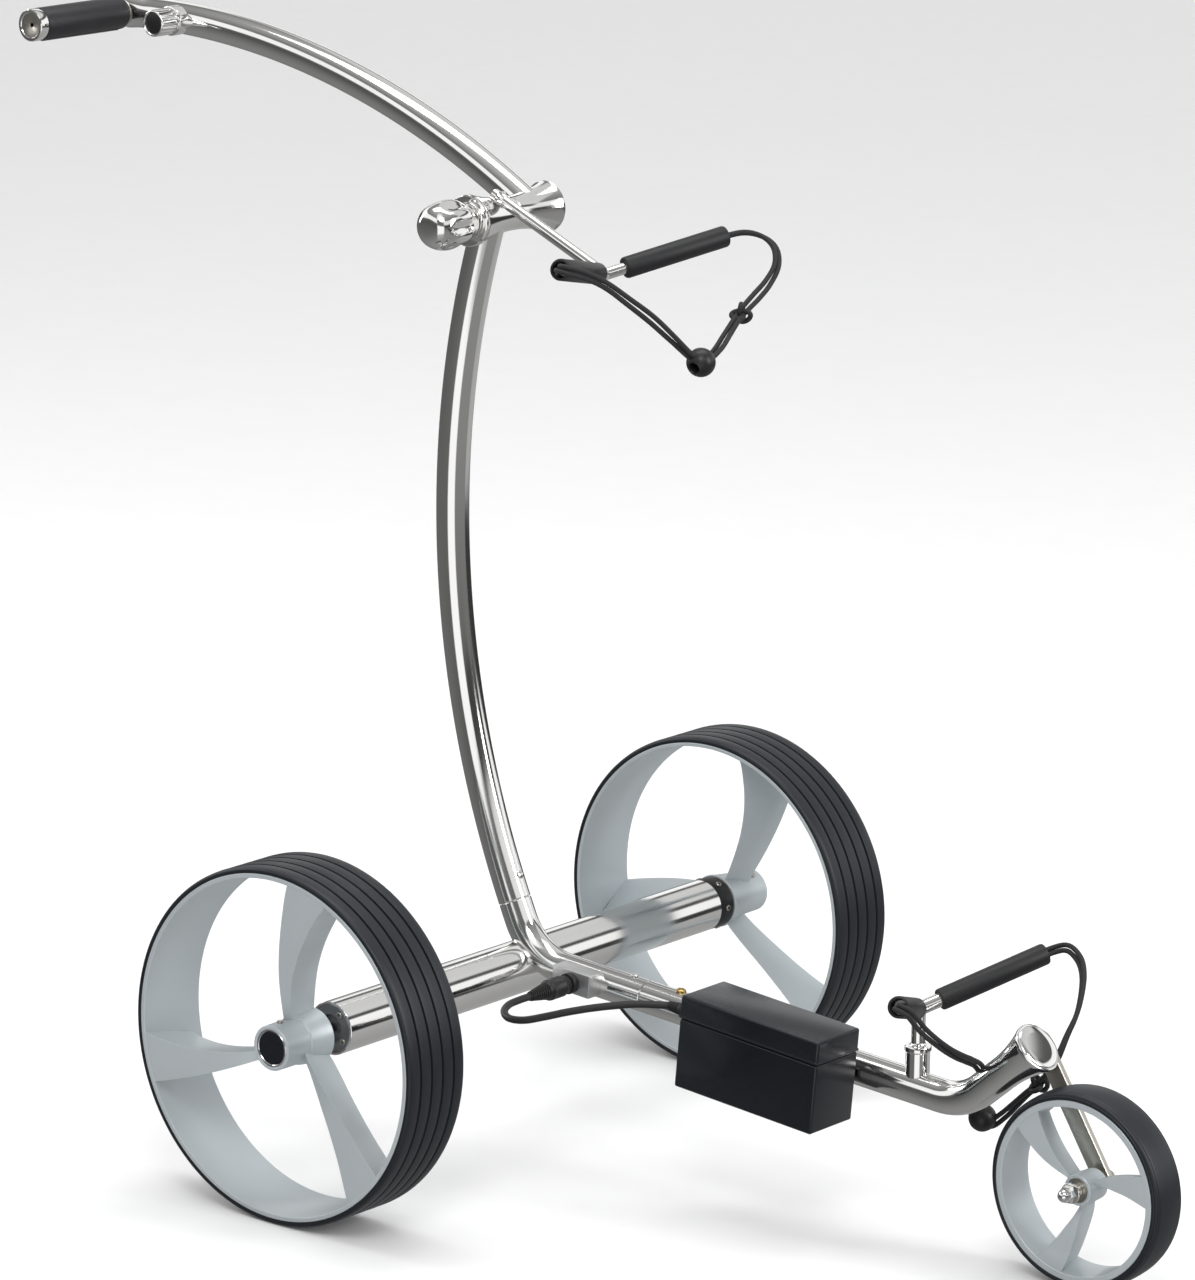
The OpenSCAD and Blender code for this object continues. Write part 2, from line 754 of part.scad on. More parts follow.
module front_bearings() {
    row() color(brushed) for (y = [-front_hub_y, front_hub_y - 5]) difference() {
        y_bar(wheelbase, front_r, y, y + 5, 10);
        y_bar(wheelbase, front_r, y - 1, y + 6, front_axle_r + run_fit);
    }
}

// ---------- lower mast, joint and upper cradle ----------

// Half of the joint's hourglass: narrow at the seam, wide at the outer end
module barrel_solid(len, r0, r1) {
    steps = 6;
    for (i = [0 : steps - 1]) {
        t0 = i / steps;
        t1 = (i + 1) / steps;
        translate([0, 0, len * t0])
            cylinder(h = len / steps, r1 = r0 + (r1 - r0) * pow(t0, 2), r2 = r0 + (r1 - r0) * pow(t1, 2));
    }
}

module near_barrel_solid() {
    along_y(hinge.x, seam_y - touch / 2, hinge.z) mirror([0, 0, 1])
        barrel_solid(barrel_len, barrel_r, barrel_flare_r);
}

module far_barrel_solid() {
    along_y(hinge.x, seam_y + touch / 2, hinge.z) barrel_solid(barrel_len, barrel_r, barrel_flare_r);
}

module lower_mast() {
    row() color(steel) difference() {
        arc_bar(mast_centre, mast_bend, mast_top_a, mast_seam_a - seam_gap_a, tube_r);
        arc_bar(mast_centre, mast_bend, mast_top_a - 1, mast_seam_a + 1, bore_r);
        near_barrel_solid();
        button_frame() cylinder(h = 20, r = button_hole_r);
    }
}

module near_barrel() {
    end_y = seam_y - touch / 2 - barrel_len;
    row() color(steel) difference() {
        union() {
            near_barrel_solid();
            y_bar(hinge.x, hinge.z, end_y - 2, end_y, 20);
            y_bar(hinge.x, hinge.z, end_y - 6, end_y - 2, 21.5);
        }
        y_bar(hinge.x, hinge.z, end_y - 8, seam_y + 1, bolt_r + run_fit);
    }
}

// Frame on the front side of the mast, just above the seam, where the snap button comes out
module button_frame() {
    a = mast_seam_a - 1.4;
    translate([mast_centre.x + mast_bend * cos(a), 0, mast_centre.z + mast_bend * sin(a)])
        rotate([0, 270 - a, 0]) children();
}

module mast_button() {
    row() color(steel) button_frame() button_shape();
}

module clamp_knob() {
    steps = 12;
    half_l = 25;
    half_r = 21;
    y0 = seam_y - touch / 2 - barrel_len - 6 - touch;
    profile = concat([[0, -half_l]],
        [for (i = [1 : steps - 1]) [half_r * pow(sin(180 * i / steps), 0.8), -half_l * cos(180 * i / steps)]],
        [[0, half_l]]);
    row() color(steel) difference() {
        along_y(hinge.x, y0 - half_l, hinge.z) {
            rotate_extrude($fn = 64) polygon(profile);
            translate([0, 0, 8]) cylinder(h = half_l - 8, r = 15);
        }
        y_bar(hinge.x, hinge.z, y0 - 34, y0 + 2, bolt_r + run_fit);
        for (a = [0 : 60 : 300])
            translate([hinge.x, 0, hinge.z]) rotate([0, a, 0]) y_bar(0, 27.5, y0 - 52, y0 + 2, 9);
    }
}

module upper_rod() {
    row() color(steel) difference() {
        union() {
            bar(upper_root, upper_apex, upper_arm_r);
            translate(upper_apex) sphere(r = upper_arm_r + 0.3);
        }
        near_barrel_solid();
    }
}

module upper_arms() {
    row() color(steel) difference() {
        for (tip = [upper_tip, mirrored(upper_tip)]) arm(upper_apex, tip, upper_arm_r);
        bar(upper_root, upper_apex, upper_arm_r);
        translate(upper_apex) sphere(r = upper_arm_r + 0.3);
    }
}

module upper_sleeves() {
    row() color(black)
        for (tip = [upper_tip, mirrored(upper_tip)]) sleeve(upper_apex, tip, upper_arm_r);
}

module upper_bungee() {
    row() color(black) cord(upper_route, bungee_d, [1, 0, 0]);
}

module upper_ball() {
    row() color(black) {
        translate(upper_ball_at) sphere(r = ball_d / 2);
        translate(upper_knot_at) sphere(r = knot_r);
    }
}

// ---------- upper mast, grip and speed knob ----------

module flare_frame() {
    translate(handle_top) rotate([0, -flare_tilt, 0]) rotate([0, 90, 0]) children();
}

module flare_solid() {
    flare_frame() {
        sphere(r = tube_r + 0.06);
        cylinder(h = 12, r1 = tube_r - 0.1, r2 = tube_r + 1);
        translate([0, 0, 12]) cylinder(h = flare_len - 12, r1 = tube_r + 1, r2 = flare_r);
    }
}

module cap_solid() {
    flare_frame() {
        translate([0, 0, flare_len]) cylinder(h = cap_len - 8, r = flare_r);
        translate([0, 0, flare_len + cap_len - 8]) cylinder(h = 5, r1 = flare_r, r2 = flare_r - 3);
        translate([0, 0, flare_len + cap_len - 3]) cylinder(h = 3, r1 = flare_r - 3, r2 = flare_r - 7);
    }
}

module upper_mast() {
    row() color(steel) difference() {
        union() {
            arc_bar(handle_centre, mast_bend, handle_low_a, 90, tube_r);
            flare_solid();
        }
        arc_bar(handle_centre, mast_bend, handle_low_a - 1, 90, bore_r);
        flare_frame() {
            sphere(r = bore_r + 0.06);
            cylinder(h = flare_len + 1, r = bore_r - lap_step);
        }
        far_barrel_solid();
        y_bar(speed_x, speed_z, 20, mast_offset, 3.5);
    }
}

module far_barrel() {
    y0 = seam_y - touch / 2 - barrel_len - 6;
    row() color(steel) {
        difference() {
            far_barrel_solid();
            y_bar(hinge.x, hinge.z, seam_y - 1, seam_y + barrel_len + 2, bolt_r);
        }
        y_bar(hinge.x, hinge.z, y0 - 30, seam_y + barrel_len - 1, bolt_r);
    }
}

module mast_cap() {
    row() color(black) {
        cap_solid();
        flare_frame() translate([0, 0, flare_len - 10]) cylinder(h = 11, r = bore_r - lap_step);
    }
}

module grip_core() {
    row() color(steel) difference() {
        y_bar(-grip_back, grip_z, grip_tip_y + 10, mast_offset, 11);
        y_bar(-grip_back, grip_z, grip_tip_y + 9, grip_root_y - 6, 9);
        flare_solid();
        cap_solid();
    }
}

module grip_sleeve() {
    row() color(black) difference() {
        union() {
            y_bar(-grip_back, grip_z, grip_tip_y + 10, grip_root_y - 3, grip_d / 2);
            along_y(-grip_back, grip_root_y - 3, grip_z) cylinder(h = 2.5, r1 = grip_d / 2, r2 = grip_d / 2 - 2);
        }
        y_bar(-grip_back, grip_z, grip_tip_y, grip_root_y + 1, 11);
    }
}

module grip_end_cap() {
    row() color(steel) difference() {
        union() {
            y_bar(-grip_back, grip_z, grip_tip_y, grip_tip_y + 10, grip_d / 2 - 0.4);
            y_bar(-grip_back, grip_z, grip_tip_y + 10, grip_tip_y + 22, 9);
        }
        along_y(-grip_back, grip_tip_y - 0.1, grip_z) cylinder(h = 3.1, r1 = 12, r2 = 8);
        y_bar(-grip_back, grip_z, grip_tip_y - 1, grip_tip_y + 8, 2);
    }
}

// Round foot of the speed knob, shaped to the side of the mast
module speed_bezel() {
    row() color(steel) difference() {
        y_bar(speed_x, speed_z, bezel_y, mast_offset - tube_r + 6, 13);
        arc_bar(handle_centre, mast_bend, 85, 90, tube_r);
        y_bar(speed_x, speed_z, bezel_y - 1, mast_offset, knob_shaft_r + run_fit);
    }
}

module speed_sensor() {
    row() color(dark_grey) y_bar(speed_x, speed_z, sensor_y, 55, 8);
}

module speed_knob() {
    flutes = 18;
    row() color(steel) difference() {
        union() {
            y_bar(speed_x, speed_z, 8, bezel_y - touch, 11.75);
            y_bar(speed_x, speed_z, bezel_y - touch, sensor_y - touch, knob_shaft_r);
        }
        y_bar(speed_x, speed_z, 7, 9.5, 9.6);
        for (i = [0 : flutes - 1])
            translate([speed_x, 0, speed_z]) rotate([0, i * 360 / flutes, 0]) y_bar(0, 12.6, 10, 27, 1.4);
    }
}

axle_tube();
frame_tube();
mast_spigot();
socket_block();
power_socket();
controller();
left_motor();
right_motor();
left_gearbox();
right_gearbox();
left_flange();
right_flange();
flange_screws();
power_plug();
power_lead();
lead_gland();
front_beam();
beam_spigot();
head_cap();
beam_screw();
beam_button();
fork_leg();
front_axle();
axle_nut();
battery_case();
battery_lid();
battery_cells();
battery_bracket();
cradle_post();
lower_arms();
lower_sleeves();
lower_bungee();
lower_ball();
left_rim();
left_tyre();
left_shaft();
right_rim();
right_tyre();
right_shaft();
front_rim();
front_tyre();
front_bearings();
lower_mast();
near_barrel();
upper_rod();
upper_arms();
upper_sleeves();
upper_bungee();
upper_ball();
mast_button();
clamp_knob();
upper_mast();
far_barrel();
mast_cap();
grip_core();
grip_sleeve();
grip_end_cap();
speed_bezel();
speed_sensor();
speed_knob();
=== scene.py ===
"""The looks of an electric golf trolley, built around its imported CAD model.

Every shape is drawn in millimetres from the middle of the rear axle on the ground,
with X forward, Y to the left and Z up, and is moved into the row frame as it is finished.
"""

import logging
import math
from dataclasses import dataclass
from enum import Enum
from typing import Callable, Iterable, Sequence

import bmesh
import bpy
from mathutils import Matrix, Vector


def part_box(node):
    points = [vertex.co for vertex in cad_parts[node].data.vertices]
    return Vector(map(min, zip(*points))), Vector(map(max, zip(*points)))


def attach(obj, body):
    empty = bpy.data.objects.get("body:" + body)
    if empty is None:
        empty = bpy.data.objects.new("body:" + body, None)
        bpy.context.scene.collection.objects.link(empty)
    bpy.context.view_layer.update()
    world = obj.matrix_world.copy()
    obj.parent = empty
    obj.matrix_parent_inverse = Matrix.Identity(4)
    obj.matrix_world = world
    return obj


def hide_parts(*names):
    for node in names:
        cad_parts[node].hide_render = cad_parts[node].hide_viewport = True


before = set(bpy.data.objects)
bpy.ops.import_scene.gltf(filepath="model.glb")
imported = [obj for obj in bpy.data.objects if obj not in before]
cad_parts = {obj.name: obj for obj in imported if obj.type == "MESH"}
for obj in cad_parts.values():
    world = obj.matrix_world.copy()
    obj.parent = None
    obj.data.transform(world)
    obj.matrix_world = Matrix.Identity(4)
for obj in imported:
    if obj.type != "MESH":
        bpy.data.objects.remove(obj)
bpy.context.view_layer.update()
LOG = logging.getLogger("trolley")

MM = 0.001
AXLE_LOW, AXLE_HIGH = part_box("axle_tube")
AXLE_X = (AXLE_LOW.x + AXLE_HIGH.x) / 2 / MM
TO_ROW = Matrix.Scale(MM, 4) @ Matrix.Translation((AXLE_X, 0.0, 0.0))
Y_AXIS = Vector((0.0, 1.0, 0.0))
Point = Sequence[float]
Profile = Sequence[tuple[float, float]]
Socket = bpy.types.NodeSocket


# ---------------------------------------------------------------- routes and sections


def arc_points(centre: Point, bend: float, start: float, end: float, steps: int) -> list[Vector]:
    """Points on an arc in a plane of constant Y.

    Args:
        centre: The arc's centre.
        bend: Its radius.
        start: First angle in degrees, from +X towards +Z.
        end: Last angle in degrees.
        steps: How many stretches the arc is cut into.

    Returns:
        The points, in order.
    """
    angles = [math.radians(start + (end - start) * i / steps) for i in range(steps + 1)]
    return [Vector((centre[0] + bend * math.cos(a), centre[1], centre[2] + bend * math.sin(a))) for a in angles]


def smooth_route(points: Sequence[Point], per: int) -> list[Vector]:
    """A smooth curve through given points.

    Args:
        points: The points it passes through.
        per: How many stretches lie between two of them.

    Returns:
        The curve's points.
    """
    p = [Vector(q) for q in points]
    p = [2 * p[0] - p[1], *p, 2 * p[-1] - p[-2]]
    out = []
    for i in range(1, len(p) - 2):
        a, b, c, d = p[i - 1:i + 3]
        for k in range(per):
            t = k / per
            out.append(0.5 * (2 * b + (c - a) * t + (2 * a - 5 * b + 4 * c - d) * t * t
                              + (3 * b - a - 3 * c + d) * t ** 3))
    return [*out, p[-2]]


def frames_along(points: Sequence[Vector]) -> list[tuple[Vector, Vector, Vector]]:
    """Frames that follow a line without twisting.

    Args:
        points: The line's points.

    Returns:
        For each point, the direction of travel and two directions square to it.
    """
    last = len(points) - 1
    ways = [(points[min(i + 1, last)] - points[max(i - 1, 0)]).normalized() for i in range(last + 1)]
    side = ways[0].orthogonal().normalized()
    out = []
    for i, way in enumerate(ways):
        if i:
            side = ways[i - 1].rotation_difference(way) @ side
        side = (side - way * side.dot(way)).normalized()
        out.append((way, side, way.cross(side)))
    return out


class Shape:
    """A mesh that is being drawn, in millimetres."""

    def __init__(self) -> None:
        """Starts an empty mesh."""
        self.bm = bmesh.new()

    def place(self, before: set, matrix: Matrix) -> None:
        """Moves what was added last.

        Args:
            before: The vertices that stay.
            matrix: How the others move.
        """
        new = [v for v in self.bm.verts if v not in before]
        bmesh.ops.transform(self.bm, matrix=matrix, verts=new)

    def lay_along_y(self, at: Point) -> None:
        """Turns the whole shape, drawn upright, so that its Z looks along +Y.

        Args:
            at: Where its origin goes.
        """
        turn = Vector((0, 0, 1)).rotation_difference(Y_AXIS).to_matrix().to_4x4()
        bmesh.ops.transform(self.bm, matrix=Matrix.Translation(at) @ turn, verts=self.bm.verts)

    def loop(self, matrix: Matrix, radius: float, sides: int) -> list:
        """Adds a circle.

        Args:
            matrix: Where the circle lies.
            radius: Its radius.
            sides: How many sides it has.

        Returns:
            Its edges.
        """
        made = bmesh.ops.create_circle(self.bm, cap_ends=False, segments=sides, radius=radius, matrix=matrix)
        return list({e for v in made["verts"] for e in v.link_edges})

    def bridge(self, loops: Sequence[list], capped: bool = True) -> None:
        """Joins loops of edges into a skin.

        Args:
            loops: The loops, in order.
            capped: Whether the two ends are closed.
        """
        for a, b in zip(loops[:-1], loops[1:]):
            bmesh.ops.bridge_loops(self.bm, edges=[*a, *b])
        if capped:
            for end in (loops[0], loops[-1]):
                bmesh.ops.contextual_create(self.bm, geom=end)

    def sweep(self, points: Sequence[Vector], radius: float | Sequence[float], sides: int = 40,
              capped: bool = True, lay: bool = False) -> None:
        """Adds a round bar along a line.

        Args:
            points: The line.
            radius: One radius, or one for each point.
            sides: How many sides the bar has.
            capped: Whether its ends are closed.
            lay: Whether to note the place round and along the bar for its finish.
        """
        radii = [radius] * len(points) if isinstance(radius, (int, float)) else radius
        layer = self.bm.verts.layers.float_vector.new("lay") if lay else None
        loops, run = [], 0.0
        for i, (p, r, (way, side, up)) in enumerate(zip(points, radii, frames_along(points))):
            run += (points[i] - points[i - 1]).length if i else 0.0
            turn = Matrix((side, up, way)).transposed().to_4x4()
            edges = self.loop(Matrix.Translation(p) @ turn, max(r, 0.01), sides)
            if layer is not None:
                for v in {v for e in edges for v in e.verts}:
                    d = (v.co - p) / max(r, 0.01)
                    v[layer] = (d.dot(side), d.dot(up), run * MM)
            loops.append(edges)
        self.bridge(loops, capped)

    def lathe(self, profile: Profile, at: Point = (0, 0, 0), along: Point = (0, 1, 0), sides: int = 64) -> None:
        """Adds a turned shape.

        Args:
            profile: Radius and height of each point of its outline.
            at: Where height 0 is.
            along: The direction of its axis.
            sides: How many sides it has.
        """
        before = set(self.bm.verts)
        verts = [self.bm.verts.new((max(r, 0.0), 0.0, h)) for r, h in profile]
        edges = [self.bm.edges.new(pair) for pair in zip(verts[:-1], verts[1:])]
        bmesh.ops.spin(self.bm, geom=[*verts, *edges], cent=(0, 0, 0), axis=(0, 0, 1), angle=math.tau,
                       steps=sides, use_merge=True)
        turn = Vector((0, 0, 1)).rotation_difference(Vector(along)).to_matrix().to_4x4()
        self.place(before, Matrix.Translation(at) @ turn)

    def box(self, size: Point, matrix: Matrix, bevel: float = 0.0, segments: int = 3) -> None:
        """Adds a box.

        Args:
            size: Its three sides.
            matrix: Where its middle lies.
            bevel: How wide its edges are rounded.
            segments: How many steps that rounding has.
        """
        before = set(self.bm.verts)
        bmesh.ops.create_cube(self.bm, size=1.0, matrix=Matrix.Diagonal((*size, 1.0)))
        if bevel:
            edges = [e for e in self.bm.edges if e.verts[0] not in before]
            bmesh.ops.bevel(self.bm, geom=edges, offset=bevel, affect="EDGES", segments=segments,
                            profile=0.5, material=-1)
        self.place(before, matrix)

    def ball(self, at: Point, radius: float, parts: int = 24) -> None:
        """Adds a ball.

        Args:
            at: Its middle.
            radius: Its radius.
            parts: How many steps it has from pole to pole.
        """
        bmesh.ops.create_uvsphere(self.bm, u_segments=parts * 2, v_segments=parts, radius=radius,
                                  matrix=Matrix.Translation(at))

    def plate(self, outline: Profile, thick: float, matrix: Matrix, bevel: float = 0.0) -> None:
        """Adds a flat plate with any outline.

        Args:
            outline: The outline's points in the plate's own plane.
            thick: Its thickness, along its own Z.
            matrix: Where it lies.
            bevel: How wide its edges are rounded.
        """
        before = set(self.bm.verts)
        face = self.bm.faces.new([self.bm.verts.new((x, y, 0.0)) for x, y in outline])
        made = bmesh.ops.extrude_face_region(self.bm, geom=[face])
        top = [g for g in made["geom"] if isinstance(g, bmesh.types.BMVert)]
        bmesh.ops.translate(self.bm, vec=(0, 0, thick), verts=top)
        if bevel:
            edges = [e for e in self.bm.edges if e.verts[0] not in before and e.is_manifold
                     and e.calc_face_angle(0.0) > 1.0]
            bmesh.ops.bevel(self.bm, geom=edges, offset=bevel, affect="EDGES", segments=2, profile=0.5, material=-1)
        self.place(before, matrix)


@dataclass(frozen=True)
class Fit:
    """Where a piece belongs.

    Args:
        body: The CAD body that it rides on.
        slot: The record's material slot; not used.
        nodes: The CAD nodes that it stands for.
    """

    body: str
    slot: str
    nodes: tuple[str, ...] = ()


def piece(name: str, shape: Shape, fit: Fit, finish: "Finish", sharp: float = 32.0,
          bevel: float = 0.0) -> bpy.types.Object:
    """Turns a shape into a finished object of the trolley.

    Args:
        name: The object's name.
        shape: Its shape, which is used up.
        fit: Where it belongs.
        finish: Its finish.
        sharp: The angle above which an edge is shaded sharp, in degrees.
        bevel: The width of a live bevel on its sharp edges, in millimetres.

    Returns:
        The object.
    """
    bm = shape.bm
    bmesh.ops.remove_doubles(bm, verts=bm.verts, dist=0.004)
    bmesh.ops.recalc_face_normals(bm, faces=bm.faces)
    bmesh.ops.transform(bm, matrix=TO_ROW, verts=bm.verts)
    mesh = bpy.data.meshes.new(name)
    bm.to_mesh(mesh)
    bm.free()
    mesh.shade_smooth()
    mesh.set_sharp_from_angle(angle=math.radians(sharp))
    mesh.materials.append(finish.material())
    obj = bpy.data.objects.new(name, mesh)
    bpy.context.scene.collection.objects.link(obj)
    if bevel:
        mod = obj.modifiers.new("soft edges", "BEVEL")
        mod.width, mod.segments, mod.limit_method = bevel * MM, 2, "ANGLE"
        mod.angle_limit = math.radians(40)
        mod.harden_normals = True
    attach(obj, fit.body)
    if fit.nodes:
        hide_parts(*fit.nodes)
    LOG.info("%s: %d faces on %s", name, len(mesh.polygons), fit.body)
    return obj


# ---------------------------------------------------------------- finishes


class Pattern(Enum):
    """The fine patterns that a finish can have."""

    POLISH = "polish marks"
    BRUSHED = "brushed lines"
    GRAIN = "moulded grain"
    LEATHER = "leather grain"
    BRAID = "braided sleeve"


class Net:
    """A small helper that adds and joins nodes in one node tree."""

    def __init__(self, tree: bpy.types.NodeTree) -> None:
        """Takes the tree to work in."""
        self.tree = tree

    def add(self, kind: str, inputs: dict | None = None, **settings) -> bpy.types.Node:
        """Adds a node.

        Args:
            kind: The node's type.
            inputs: For some of its inputs, by name or number, a value or a socket to join.
            settings: Its other properties.

        Returns:
            The node.
        """
        node = self.tree.nodes.new(kind)
        for key, value in settings.items():
            setattr(node, key, value)
        for key, value in (inputs or {}).items():
            if isinstance(value, Socket):
                self.tree.links.new(value, node.inputs[key])
            else:
                node.inputs[key].default_value = value
        return node

    def math(self, operation: str, a: object, b: object = 0.0, clamp: bool = False) -> Socket:
        """The result of a sum on two numbers or sockets."""
        return self.add("ShaderNodeMath", {0: a, 1: b}, operation=operation, use_clamp=clamp).outputs[0]

    def noise(self, vector: Socket, scale: float, detail: float = 3.0) -> Socket:
        """A cloud of soft noise."""
        return self.add("ShaderNodeTexNoise", {"Vector": vector, "Scale": scale, "Detail": detail}).outputs[0]

    def stretch(self, vector: Socket, by: Point) -> Socket:
        """A vector with each of its parts multiplied."""
        return self.add("ShaderNodeVectorMath", {0: vector, 1: by}, operation="MULTIPLY").outputs[0]


def pattern_polish(net: Net, vector: Socket) -> tuple[Socket, Socket]:
    """Wiping marks and hairline scratches on polished metal.

    Args:
        net: The node tree to work in.
        vector: The place on the surface, in metres.

    Returns:
        The pattern's mask and height.
    """
    smear = net.noise(net.stretch(vector, (14, 14, 14)), 1.0, 4.0)
    lines = net.noise(net.stretch(vector, (900, 900, 60)), 1.0, 2.0)
    mask = net.math("MULTIPLY_ADD", lines, 0.35)
    net.tree.links.new(smear, mask.node.inputs[2])
    return mask, lines


def pattern_brushed(net: Net, vector: Socket) -> tuple[Socket, Socket]:
    """Straight lines left by a brushing belt, along X.

    Args:
        net: The node tree to work in.
        vector: The place on the surface, in metres.

    Returns:
        The pattern's mask and height.
    """
    fine = net.noise(net.stretch(vector, (35, 2600, 2600)), 1.0, 3.0)
    broad = net.noise(net.stretch(vector, (9, 320, 320)), 1.0, 2.0)
    return net.math("ADD", net.math("MULTIPLY", fine, 0.6), net.math("MULTIPLY", broad, 0.4)), fine


def pattern_grain(net: Net, vector: Socket) -> tuple[Socket, Socket]:
    """The fine grain of paint, rubber or a moulded surface, over broad uneven patches.

    Args:
        net: The node tree to work in.
        vector: The place on the surface, in metres.

    Returns:
        The pattern's mask and height.
    """
    patches = net.noise(vector, 18.0, 4.0)
    fine = net.noise(vector, 2200.0, 2.0)
    return net.math("ADD", net.math("MULTIPLY", patches, 0.7), net.math("MULTIPLY", fine, 0.3)), fine


def pattern_leather(net: Net, vector: Socket) -> tuple[Socket, Socket]:
    """Pebbled leather with small creases.

    Args:
        net: The node tree to work in.
        vector: The place on the surface, in metres.

    Returns:
        The pattern's mask and height.
    """
    drift = net.add("ShaderNodeTexNoise", {"Vector": vector, "Scale": 300.0}).outputs[1]
    small = net.stretch(drift, (0.001, 0.001, 0.001))
    bent = net.add("ShaderNodeVectorMath", {0: vector, 1: small}, operation="ADD").outputs[0]
    cells = net.add("ShaderNodeTexVoronoi", {"Vector": bent, "Scale": 850.0}, feature="SMOOTH_F1").outputs[0]
    patches = net.noise(vector, 60.0, 3.0)
    mask = net.math("ADD", net.math("MULTIPLY", patches, 0.6), net.math("MULTIPLY", cells, 0.4))
    return mask, net.math("SUBTRACT", 1.0, cells)


def pattern_braid(net: Net, vector: Socket) -> tuple[Socket, Socket]:
    """Crossing strands that wind both ways round a cord.

    Args:
        net: The node tree to work in.
        vector: The place on the surface, in metres.

    Returns:
        The pattern's mask and height.
    """
    parts = net.add("ShaderNodeSeparateXYZ", {0: vector}).outputs
    turn = net.math("MULTIPLY", net.math("ARCTAN2", parts[1], parts[0]), 6.0)
    run = net.math("MULTIPLY", parts[2], 3100.0)
    over = net.math("SINE", net.math("ADD", turn, run))
    under = net.math("SINE", net.math("SUBTRACT", turn, run))
    height = net.math("MAXIMUM", over, under)
    return net.math("MULTIPLY_ADD", height, 0.5), height


PATTERN_MAKERS: dict[Pattern, Callable] = {
    Pattern.POLISH: pattern_polish,
    Pattern.BRUSHED: pattern_brushed,
    Pattern.GRAIN: pattern_grain,
    Pattern.LEATHER: pattern_leather,
    Pattern.BRAID: pattern_braid,
}


def pattern_group(pattern: Pattern) -> bpy.types.NodeTree:
    """The shared node group of a pattern, made the first time it is asked for.

    Args:
        pattern: Which pattern.

    Returns:
        A group that turns a vector into a mask and a height.
    """
    if pattern.value in bpy.data.node_groups:
        return bpy.data.node_groups[pattern.value]
    tree = bpy.data.node_groups.new(pattern.value, "ShaderNodeTree")
    tree.interface.new_socket(name="Vector", in_out="INPUT", socket_type="NodeSocketVector")
    for name in ("Mask", "Height"):
        tree.interface.new_socket(name=name, in_out="OUTPUT", socket_type="NodeSocketFloat")
    net = Net(tree)
    start = net.add("NodeGroupInput")
    mask, height = PATTERN_MAKERS[pattern](net, start.outputs[0])
    net.add("NodeGroupOutput", {"Mask": mask, "Height": height})
    return tree


@dataclass(frozen=True)
class Finish:
    """One finish of the trolley.

    Args:
        name: Its name.
        colour: Its main colour.
        shade: The colour it drifts to where its pattern is strong.
        metallic: 1 for bare metal.
        rough: Lowest and highest roughness over the pattern.
        pattern: Its fine pattern.
        bump: How deep the pattern is, in millimetres.
        coat: How much clear coat lies on it.
        sheen: How much it shows the soft sheen of cloth or rubber.
    """

    name: str
    colour: tuple[float, float, float]
    shade: tuple[float, float, float]
    metallic: float
    rough: tuple[float, float]
    pattern: Pattern
    bump: float
    coat: float = 0.0
    sheen: float = 0.0

    def material(self) -> bpy.types.Material:
        """The finish's material, made the first time it is asked for.

        Returns:
            The material.
        """
        if self.name in bpy.data.materials:
            return bpy.data.materials[self.name]
        mat = bpy.data.materials.new(self.name)
        mat.use_nodes = True
        mat.node_tree.nodes.clear()
        net = Net(mat.node_tree)
        if self.pattern is Pattern.BRAID:
            place = net.add("ShaderNodeAttribute", attribute_name="lay").outputs["Vector"]
        else:
            place = net.add("ShaderNodeTexCoord").outputs["Object"]
        group = net.add("ShaderNodeGroup", node_tree=pattern_group(self.pattern))
        mat.node_tree.links.new(place, group.inputs["Vector"])
        mix = net.add("ShaderNodeMix", {0: group.outputs["Mask"], 6: (*self.colour, 1.0), 7: (*self.shade, 1.0)},
                      data_type="RGBA")
        rough = net.add("ShaderNodeMapRange", {"Value": group.outputs["Mask"], "To Min": self.rough[0],
                                               "To Max": self.rough[1]})
        bump = net.add("ShaderNodeBump", {"Height": group.outputs["Height"], "Distance": self.bump * MM,
                                          "Strength": 0.6})
        shader = net.add("ShaderNodeBsdfPrincipled", {
            "Base Color": mix.outputs[2], "Roughness": rough.outputs[0], "Normal": bump.outputs[0],
            "Metallic": self.metallic, "Coat Weight": self.coat, "Coat Roughness": 0.08,
            "Sheen Weight": self.sheen, "Sheen Roughness": 0.4})
        net.add("ShaderNodeOutputMaterial", {"Surface": shader.outputs[0]})
        return mat


POLISHED = Finish("polished stainless", (0.86, 0.855, 0.84), (0.80, 0.795, 0.78), 1.0, (0.05, 0.14),
                  Pattern.POLISH, 0.002)
SATIN_STEEL = Finish("brushed stainless", (0.56, 0.54, 0.49), (0.42, 0.40, 0.35), 1.0, (0.25, 0.42),
                     Pattern.BRUSHED, 0.01)
ALUMINIUM = Finish("brushed aluminium", (0.66, 0.66, 0.66), (0.5, 0.5, 0.51), 1.0, (0.3, 0.5),
                   Pattern.BRUSHED, 0.012)
SILVER_PAINT = Finish("silver paint", (0.43, 0.47, 0.49), (0.49, 0.53, 0.55), 0.35, (0.36, 0.48),
                      Pattern.GRAIN, 0.006, coat=0.15)
TYRE = Finish("tyre rubber", (0.0035, 0.005, 0.008), (0.007, 0.010, 0.015), 0.0, (0.36, 0.55),
              Pattern.GRAIN, 0.03)
RUBBER = Finish("sleeve rubber", (0.004, 0.0045, 0.006), (0.008, 0.0085, 0.010), 0.0, (0.42, 0.58),
                Pattern.GRAIN, 0.03)
GLOSS_BLACK = Finish("gloss black", (0.003, 0.004, 0.007), (0.006, 0.007, 0.011), 0.0, (0.2, 0.32),
                     Pattern.GRAIN, 0.004, coat=0.1)
